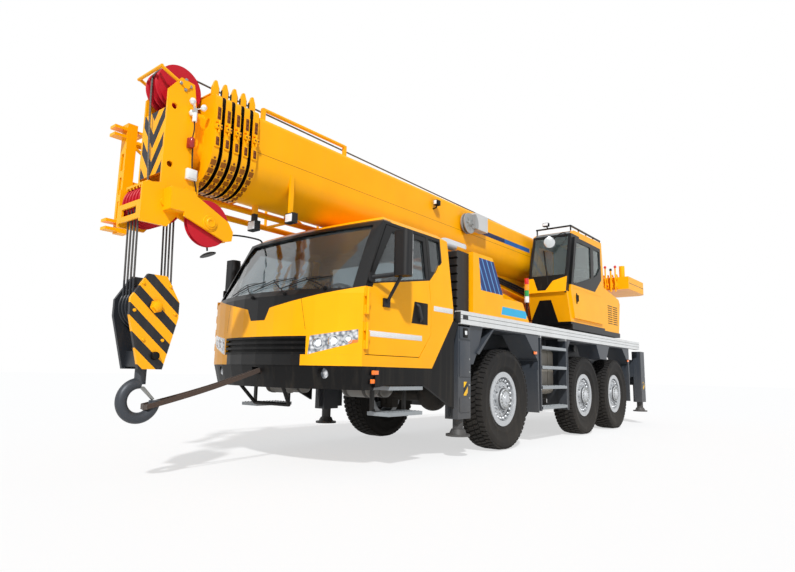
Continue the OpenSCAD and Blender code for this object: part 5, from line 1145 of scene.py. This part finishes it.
# Counterweight: cast amber slab round the platform's tail plates, with a post on each side of its top.
# The hoist winch is bolted between the plates, and its drum carries a tight layer of steel rope.
weight_paint = marked(amber_coat("weight_paint"), (tint(44, 32, 12), within(x=(-7, -4.62), z=(3.09, 3.103))))
dress(weight_paint, "counterweight")
dress(coated("winch_finish", tint(70, 72, 74), gloss=0.45, dust=0.1, metal=0.3), "winch")
rope_steel = coated("rope_steel", tint(96, 94, 90), gloss=0.45, dust=0.1, metal=0.6, relief=0.3)
tree = rope_steel.node_tree
embossed(tree, maths(tree, "SINE", dot(tree, spot(tree, mirrored=False), (300.0, 300.0, 420.0))), 0.5, 0.002)
rope_turn = [(0.190, -0.008), (0.197, -0.0056), (0.200, 0.0), (0.197, 0.0056), (0.190, 0.008), (0.189, 0.0),
             (0.190, -0.008)]
repeated("winch_rope", [lathe(rope_turn, (-5.46, 0, 2.95), (0, 1, 0), 40)], 36, rope_steel, "upper_works",
         step=(0, 0.0165, 0), centre=(0, -0.29, 0))

# Hydraulic couplings: amber pipes and valve blocks on the front of the counterweight's left side, with
# red and black caps on the quick couplings.
bank_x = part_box("counterweight")[1].x
coupling_cap = [(0, 0.045), (0.016, 0.045), (0.022, 0.036), (0.022, 0.012), (0.015, 0.008), (0.015, -0.006),
                (0, -0.006)]
riser_cap = [(0, 0.05), (0.02, 0.048), (0.028, 0.03), (0.028, 0.0), (0, 0.0)]
hook_line = ((0.03, 0.035, 3.09), (0.035, 0.035, 3.17), (0.03, 0.04, 3.26), (-0.02, 0.04, 3.30),
             (-0.08, 0.04, 3.235))
risers = ((0.56, 3.42), (0.68, 3.36), (0.80, 3.45), (0.92, 3.38), (1.02, 3.44))
amber_parts, red_caps, black_caps = [], [], []
for n in range(6):
    y = 0.50 + n * 0.095
    amber_parts.append(block((bank_x - 0.005, y, 2.99), (bank_x + 0.055, y + 0.07, 3.10), 0.008))
    amber_parts.append(pipe(curve_through([(bank_x + ahead, y + aside, z) for ahead, aside, z in hook_line]),
                            0.013, 8))
    (red_caps if n % 2 else black_caps).append(
        lathe(coupling_cap, (bank_x + 0.055, y + 0.035, 3.045), (1, 0, 0), 14))
for n, (y, top) in enumerate(risers):
    riser_x = bank_x + 0.10
    amber_parts.append(pipe([(riser_x, y, 2.90), (riser_x, y, top)], 0.016 + 0.004 * (n % 2), 10))
    for z in ((3.00, 3.04), (3.18, 3.21)):
        amber_parts.append(slab((bank_x - 0.004, bank_x + 0.12), about(y, 0.02), z, 0.005))
    (black_caps if n % 2 else red_caps).append(lathe(riser_cap, (riser_x, y, top), (0, 0, 1), 14))
made("hydraulic_bank", amber_parts, weight_paint, "upper_works")
made("coupling_caps_red", red_caps, coated("cap_red", tint(196, 30, 32), gloss=0.35, dust=0.0), "upper_works")
made("coupling_caps_black", black_caps, black_trim, "upper_works")

# Luffing cylinder: amber steel barrel with a chromed rod, pinned between the platform and the boom.
# It raises the boom.
dress(amber_coat("barrel_paint"), "luff_barrel")
dress(coated("rod_chrome", tint(206, 208, 210), gloss=0.12, dust=0.0, metal=1.0, relief=0.02), "luff_rod")

# Boom: outer section of bent steel plate, welded along its neutral line, amber with a stripe in two blues
# on the left. A cable reel, a switch box and a lamp are bolted to that side, floodlights and a tray of
# hoses under it, and a collar closes its front end, with painted shade for pockets in its belly.
collar_ends = [4.89 + 0.11 * n for n in range(5)]
collar_middles = [end_x - 0.037 for end_x in collar_ends]
belly_z, first_bolt, bolt_turn = 3.12, 12, 14


def pockets(tree, place):
    """Region of painted shade for pockets between the bolts round the belly of each collar."""
    parts = wire(tree, "ShaderNodeSeparateXYZ", Vector=place)
    drop = maths(tree, "SUBTRACT", belly_z, parts.outputs["Z"])
    angle = maths(tree, "ARCTAN2", drop, maths(tree, "ABSOLUTE", parts.outputs["Y"]))
    start = maths(tree, "SUBTRACT", angle, math.radians(first_bolt + 3))
    turn = maths(tree, "DIVIDE", start, math.radians(bolt_turn))
    mask = either(*(within(x=about(x, 0.029)) for x in collar_middles))(tree, place)
    mask = maths(tree, "MULTIPLY", mask, maths(tree, "LESS_THAN", maths(tree, "FRACT", turn), 0.62))
    return maths(tree, "MULTIPLY", mask, maths(tree, "GREATER_THAN", turn, 0.0))


# pocket_shade is painted shade in the pockets between the collars' belly bolts.
pocket_shade, gap_shade_and_grease = tint(150, 86, 4), tint(20, 14, 8)
# The strips between the collars are painted dark: painted shade in the gaps, with grease on the bare steel.
shaded_greased_strips = either(*(within(x=(end_x - 0.001, end_x + 0.040)) for end_x in collar_ends[:4]))
stripe = {"y": (0.3, 0.36), "z": (3.335, 3.415)}
reel_x, reel_z, fittings_y = 0.74, 3.39, (0.352, 0.6)
boom_paint = marked(amber_coat("boom_paint"), (pocket_shade, pockets), (gap_shade_and_grease, shaded_greased_strips),
                    (tint(20, 36, 78), within(x=(-0.6, 0.346), **stripe)),
                    (tint(28, 96, 170), within(x=(-1.6, -0.6), **stripe)),
                    (tint(150, 92, 0), within(x=(-4.2, 4.8), z=(3.262, 3.268))),
                    (tint(196, 198, 198), within(x=(0.25, 0.66), y=fittings_y, z=(3.3, 3.6))),
                    (tint(150, 152, 152), both(within(y=fittings_y), disc(reel_x, reel_z, 0.19))),
                    (tint(30, 31, 33), within(x=(4.2, 4.6), y=(-1, 0.6), z=(2.4, 2.715))), mirrored=False)
dress(boom_paint, "boom_base")
made("floodlight_glass", [block((4.349, 0.318, 2.612), (4.357, 0.422, 2.698), 0.003),
                          block((4.559, -0.055, 2.537), (4.567, 0.055, 2.623), 0.003)], lamp_bulb, "boom")
cable_turn = [(0.112, -0.006), (0.118, 0.0), (0.112, 0.006), (0.106, 0.0), (0.112, -0.006)]
repeated("reel_cable", [lathe(cable_turn, (reel_x, 0, reel_z), (0, 1, 0), 40)], 5, black_rubber, "boom",
         step=(0, 0.009, 0), centre=(0, 0.402, 0))
made("boom_side_lamp", [block((1.56, 0.38, 3.47), (1.66, 0.45, 3.55), 0.01),
                        pipe([(1.61, 0.34, 3.43), (1.61, 0.40, 3.44), (1.61, 0.415, 3.48)], 0.011, 8)],
     black_trim, "boom")
made("boom_side_lamp_glass", [block((1.655, 0.39, 3.48), (1.664, 0.44, 3.54), 0.003)], lamp_bulb, "boom")
reel_hub = [(0, 0.02), (0.03, 0.02), (0.04, 0.012), (0.05, 0.004), (0.05, -0.006), (0, -0.006)]
reel_parts = [lathe(reel_hub, (reel_x, 0.449, reel_z), (0, 1, 0), 24)]
for turn in (math.pi * k / 4 for k in range(8)):
    reel_parts.append(pipe([(reel_x + radius * math.cos(turn), y, reel_z + radius * math.sin(turn))
                            for radius, y in ((0.045, 0.452), (0.105, 0.451))], 0.006, 6))
made("reel_hub", reel_parts, zinc, "boom")
tray_half, hose_r = 0.11, 0.02
hose_y = tray_half + 0.016
made("belly_tray", [prism([(-2.2, 2.45), (-2.2, 2.81), (-0.3, 2.81), (-0.3, 2.66)], -tray_half, tray_half)],
     boom_paint, "boom")
made("belly_hoses", [pipe([(-2.19, y, 2.53 + 0.055 * n), (-0.9, y, 2.66 + 0.04 * n),
                           (-0.31, y, 2.71 + 0.03 * n)], hose_r, 8)
                     for y in (-hose_y, hose_y) for n in range(3)], black_rubber, "boom")

# Hoist rope: taut steel rope from the winch over a guide roller at the boom's tail and along its top to
# the head sheaves.
roller_x, roller_z, rope_r = -3.80, 3.745, 0.010
rope_front, winch_top = (4.95, 0, 3.922), (-5.40, 0, 3.155)
roller = [(0.012, -0.15), (0.045, -0.15), (0.04, -0.13), (0.04, 0.13), (0.045, 0.15), (0.012, 0.15),
          (0.012, -0.15)]
roller_cheeks = [slab(about(roller_x, 0.05), (hand * 0.155, hand * 0.18), (3.66, 3.79), 0.008)
                 for hand in (-1, 1)]
made("rope_roller", [lathe(roller, (roller_x, 0, roller_z), (0, 1, 0), 24)] + roller_cheeks, cast_steel,
     "boom")
made("hoist_rope_boom", [pipe([(roller_x - 0.01, 0, roller_z + 0.052), rope_front], rope_r, 8)], rope_steel,
     "boom")
tail_rope = made("hoist_rope_tail", [pipe([winch_top, (roller_x - 0.03, 0, roller_z + 0.04)], rope_r, 8)],
                 rope_steel, "upper_works")
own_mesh(tail_rope)

# Telescopic sections: amber steel boxes one inside the other, with bolted collars round their ends that
# hold brown slide pads. The bare strips between the collars are painted dark: painted shade in the gaps,
# with some grease on them.
def bolt_at(at, out, size):
    """Hexagon bolt head on a face."""
    return knob(at, out, 0.7 * size, size, 0.85 * size, 0.55 * size, 0.3 * size)


# The sections carry the same painted shade in the pockets round the collars' bellies.
section_paint = marked(amber_coat("section_paint"), (pocket_shade, pockets), (gap_shade_and_grease, shaded_greased_strips))
dress(section_paint, "section_1", "section_2", "section_3", "section_4")
pad_brown = coated("pad_brown", tint(112, 56, 14), gloss=0.6, dust=0.0, relief=0.3)
collar_y, clamp_y = 0.386, 0.412
for n, x in enumerate(collar_middles):
    body, node = (f"section_{n}", f"section_{n}") if n else ("boom", "boom_base")
    pads, clamps, bolts = [], [], []
    for hand in (-1, 1):
        for z in ((3.43, 3.555), (3.165, 3.25)):
            pads.append(slab(about(x, 0.018), (hand * (collar_y - 0.002), hand * (collar_y + 0.003)), z,
                             0.002))
        clamps.append(slab(about(x, 0.030), (hand * 0.372, hand * clamp_y), (3.325, 3.375), 0.006))
        clamps.append(pipe([(x, hand * 0.40, 3.29), (x, hand * 0.40, 3.415)], 0.009, 8))
        for z in (3.455, 3.495, 3.535, 3.185, 3.228):
            bolts.append(bolt_at((x, hand * (collar_y + 0.002), z), (0, hand, 0), 0.011))
        for bolt_x in about(x, 0.018):
            bolts.append(bolt_at((bolt_x, hand * clamp_y, 3.35), (0, hand, 0), 0.009))
        for angle in (math.radians(first_bolt + bolt_turn * k) for k in range(6)):
            way = Vector((0, -hand * math.cos(angle), math.sin(angle)))
            at, out = touch(node, Vector((x, 0, belly_z)) - 2 * way, way)
            if out.z < 0.1:
                bolts.append(bolt_at(at, out, 0.012))
    made(f"slide_pads_{n}", pads, pad_brown, body)
    made(f"collar_clamps_{n}", clamps, section_paint, body)
    made(f"collar_bolts_{n}", bolts, pad_brown, body)

# Boom head: welded amber plates round red cast sheaves, with striped plates on the front, and a red
# lamp, a wind gauge and a junction box bolted to its left side.
top_x, top_z, side_x, side_z = 5.573, 3.72, 5.288, 2.39
sheaves = either(both(disc(top_x, top_z, 0.228), within(y=(-0.125, 0.125))),
                 both(disc(5.688, 2.52, 0.204), within(y=(-0.188, 0.188))),
                 both(disc(side_x, side_z, 0.228), within(y=(0.262, 0.328))))
chevrons = both(stripes((0, -0.80, 0.60), 0.165, 0.5, 0.03),
                within(x=(5.70, 5.76), y=(-1, 0.194), z=(2.8, 3.45)))
head_paint = marked(amber_coat("head_paint"), (tint(188, 24, 40), sheaves), (tint(26, 30, 40), chevrons))
dress(head_paint, "boom_head")

fitting_white = coated("fitting_white", tint(226, 228, 226), gloss=0.35, dust=0.0)
head_y, gauge_x = 0.222, 5.49
gauge_y = head_y + 0.06
gauge_cup = [(0, -0.032), (0.02, -0.026), (0.032, 0.0), (0.02, 0.026), (0, 0.032)]
gauge_post = [(0, 0.04), (0.018, 0.035), (0.022, 0.0), (0.022, -0.10), (0, -0.10)]
gauge = [pipe([(5.50, head_y, 3.56), (5.50, head_y + 0.05, 3.56), (gauge_x, gauge_y, 3.36)], 0.009, 8),
         lathe(gauge_post, (gauge_x, gauge_y, 3.46), (0, 0, 1), 16)]
for turn in (math.radians(40 + 120 * k) for k in range(3)):
    cup_at = (gauge_x + 0.075 * math.cos(turn), head_y + 0.075 + 0.045 * math.sin(turn),
              3.50 + 0.05 * math.sin(turn))
    gauge.append(pipe([(gauge_x, gauge_y, 3.48), cup_at], 0.005, 6))
    gauge.append(lathe(gauge_cup, cup_at, (0, 0, 1), 16))
made("wind_gauge", gauge, fitting_white, "boom_head")
lamp_profile = [(0, 0.05), (0.02, 0.05), (0.029, 0.035), (0.029, -0.035), (0.02, -0.05), (0, -0.05)]
made("head_lamp", [lathe(lamp_profile, (5.49, head_y + 0.04, 3.151), (0, 0, 1), 20),
                   block((5.46, head_y - 0.004, 3.10), (5.52, head_y + 0.03, 3.20), 0.006)],
     coated("lamp_red", tint(150, 24, 26), gloss=0.2, dust=0.0, clear=0.5), "boom_head")
made("junction_box", [block((5.40, head_y - 0.004, 2.79), (5.51, head_y + 0.035, 2.90), 0.008),
                      block((5.415, head_y + 0.033, 2.805), (5.495, head_y + 0.04, 2.885), 0.003)],
     fitting_white, "boom_head")
cables = ((0.007, (5.47, 0.03, 3.10), (5.46, 0.02, 3.0), (5.46, 0.03, 2.905)),
          (0.006, (5.49, 0.06, 3.36), (5.48, 0.05, 3.28), (5.485, 0.035, 3.19)),
          (0.007, (5.42, 0.02, 2.795), (5.40, 0.015, 2.74), (5.385, 0.005, 2.70)))
made("head_cables", [pipe(curve_through([(x, head_y + out, z) for x, out, z in route]), radius, 6)
                     for radius, *route in cables], black_rubber, "boom_head")
repeated("sheave_pin_bolts", [knob((0.05, 0, 0), (0, 1, 0), 0.013, 0.018, 0.014, 0.009, 0.003)], 4, zinc,
         "boom_head", turn=(0, math.pi / 2, 0), centre=(top_x, head_y - 0.002, top_z))
rope_top = (top_x, 0, top_z + 0.221)
rope_fall = [rope_top] + [(x, 0, z) for x, z in ((5.70, 3.905), (5.785, 3.80), (5.798, 3.70), (5.79, 3.40),
                                                 (5.765, 2.95), (5.75, 2.74))]
made("hoist_rope_head", [pipe([rope_top, rope_front], rope_r, 8), pipe(curve_through(rope_fall), rope_r, 8)],
     rope_steel, "boom_head")
sheave_boss = [(0, 0.004), (0.026, 0.004), (0.026, 0.022), (0.04, 0.024), (0.048, 0.018), (0.052, 0.008),
               (0.075, 0.008), (0.08, 0.0), (0.08, -0.008), (0, -0.008)]
made("side_sheave_boss", [lathe(sheave_boss, (side_x, 0.354, side_z), (0, 1, 0), 32)], head_paint,
     "boom_head")

# Fly jib: welded lattice of amber tubes, pinned along the right side of the boom.
# It is stowed there and swings out to lengthen the boom.
dress(amber_coat("jib_paint"), "fly_jib")

# Hook block: amber left cheek with black stripes, black right cheek and sheaves between them, hung on
# taut falls of steel rope from the boom head.
left_cheek = within(y=(0.1, 0.3), z=(0.9, 1.95))
block_paint = marked(coated("block_paint", tint(34, 37, 42), gloss=0.4, dust=0.05),
                     (tint(253, 174, 0), left_cheek),
                     (tint(30, 30, 33), both(left_cheek, stripes((-0.66, 0, 0.75), 0.165, 0.5, 0.02))),
                     (tint(74, 72, 70), within(y=(-0.128, 0.128), z=(1.80, 3))), mirrored=False)
dress(block_paint, "hook_block")
boss_x, boss_z, cheek_y = 5.658, 1.56, 0.165
boss_profile = [(0, 0.03), (0.03, 0.03), (0.045, 0.022), (0.05, 0.0), (0.062, 0.0), (0.062, -0.012),
                (0, -0.012)]
boss = [lathe(boss_profile, (boss_x, 0.192, boss_z), (0, 1, 0), 6)]
for half_x, rise in ((0.13, 0.2), (0.19, -0.05), (0.09, -0.3)):
    for bolt_x in about(boss_x, half_x):
        boss.append(bolt_at((bolt_x, cheek_y, boss_z + rise), (0, 1, 0), 0.016))
made("block_boss", boss, head_paint, "hook_block")
pins = [knob((5.63, hand * cheek_y, 1.12), (0, hand, 0), 0.03, 0.036, 0.04, 0.03, 0.01, 20)
        for hand in (-1, 1)]
pins.append(pipe([(5.80, y, boss_z + 0.02) for y in (-0.14, 0.14)], 0.014, 10))
made("block_pins", pins, black_trim, "hook_block")

# Hook: forged steel, painted dark grey, with a sprung safety latch across its mouth.
# It hangs on the block's swivel.
dress(coated("hook_grey", tint(62, 66, 72), gloss=0.45, dust=0.05, metal=0.3, relief=0.3), "hook")
made("hook_latch", [prism([(5.655, 0.84), (5.62, 0.845), (5.515, 0.735), (5.53, 0.722)], -0.016, 0.016)],
     zinc, "hook")

# Tie-down strap: doubled polyester webbing from the hook to a shackle on the bumper, which keeps the
# hook still on the road.
webbing = woven("strap_webbing", tint(66, 50, 40))
far = touch("cab_front", (6, 0.05, 1.03), (-1, 0, 0))[0] + Vector((0.03, 0, 0))
half_width, half_thick, sag, strap_steps = 0.024, 0.003, 0.02, 12
runs = []
for hand in (-1, 1):
    near, end = Vector((5.60, hand * 0.058, 0.665)), far + Vector((0, hand * 0.012, 0))
    line = [near + Vector((0, -0.056 * hand, -0.008))]
    for part in (k / strap_steps for k in range(strap_steps + 1)):
        line.append(near.lerp(end, part) - Vector((0, 0, sag * math.sin(math.pi * part))))
    run, rings = bmesh.new(), []
    for n, point in enumerate(line):
        across = Vector((0, half_thick, 0)) if n else Vector((half_thick, 0, 0))
        rings.append([run.verts.new(point + side * across + Vector((0, 0, rise * half_width)))
                      for side, rise in ((-1, -1), (1, -1), (1, 1), (-1, 1))])
    skin(run, rings)
    runs.append(run)
strap = made("tie_strap", runs, webbing, "carrier")
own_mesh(strap)
shackle = [far + Vector((x, y, 0)) for x, y in ((-0.02, -0.04), (0.03, -0.04), (0.05, 0), (0.03, 0.04),
                                                (-0.02, 0.04))]
made("strap_shackle", [pipe(curve_through(shackle), 0.010, 8)], cast_steel, "carrier")
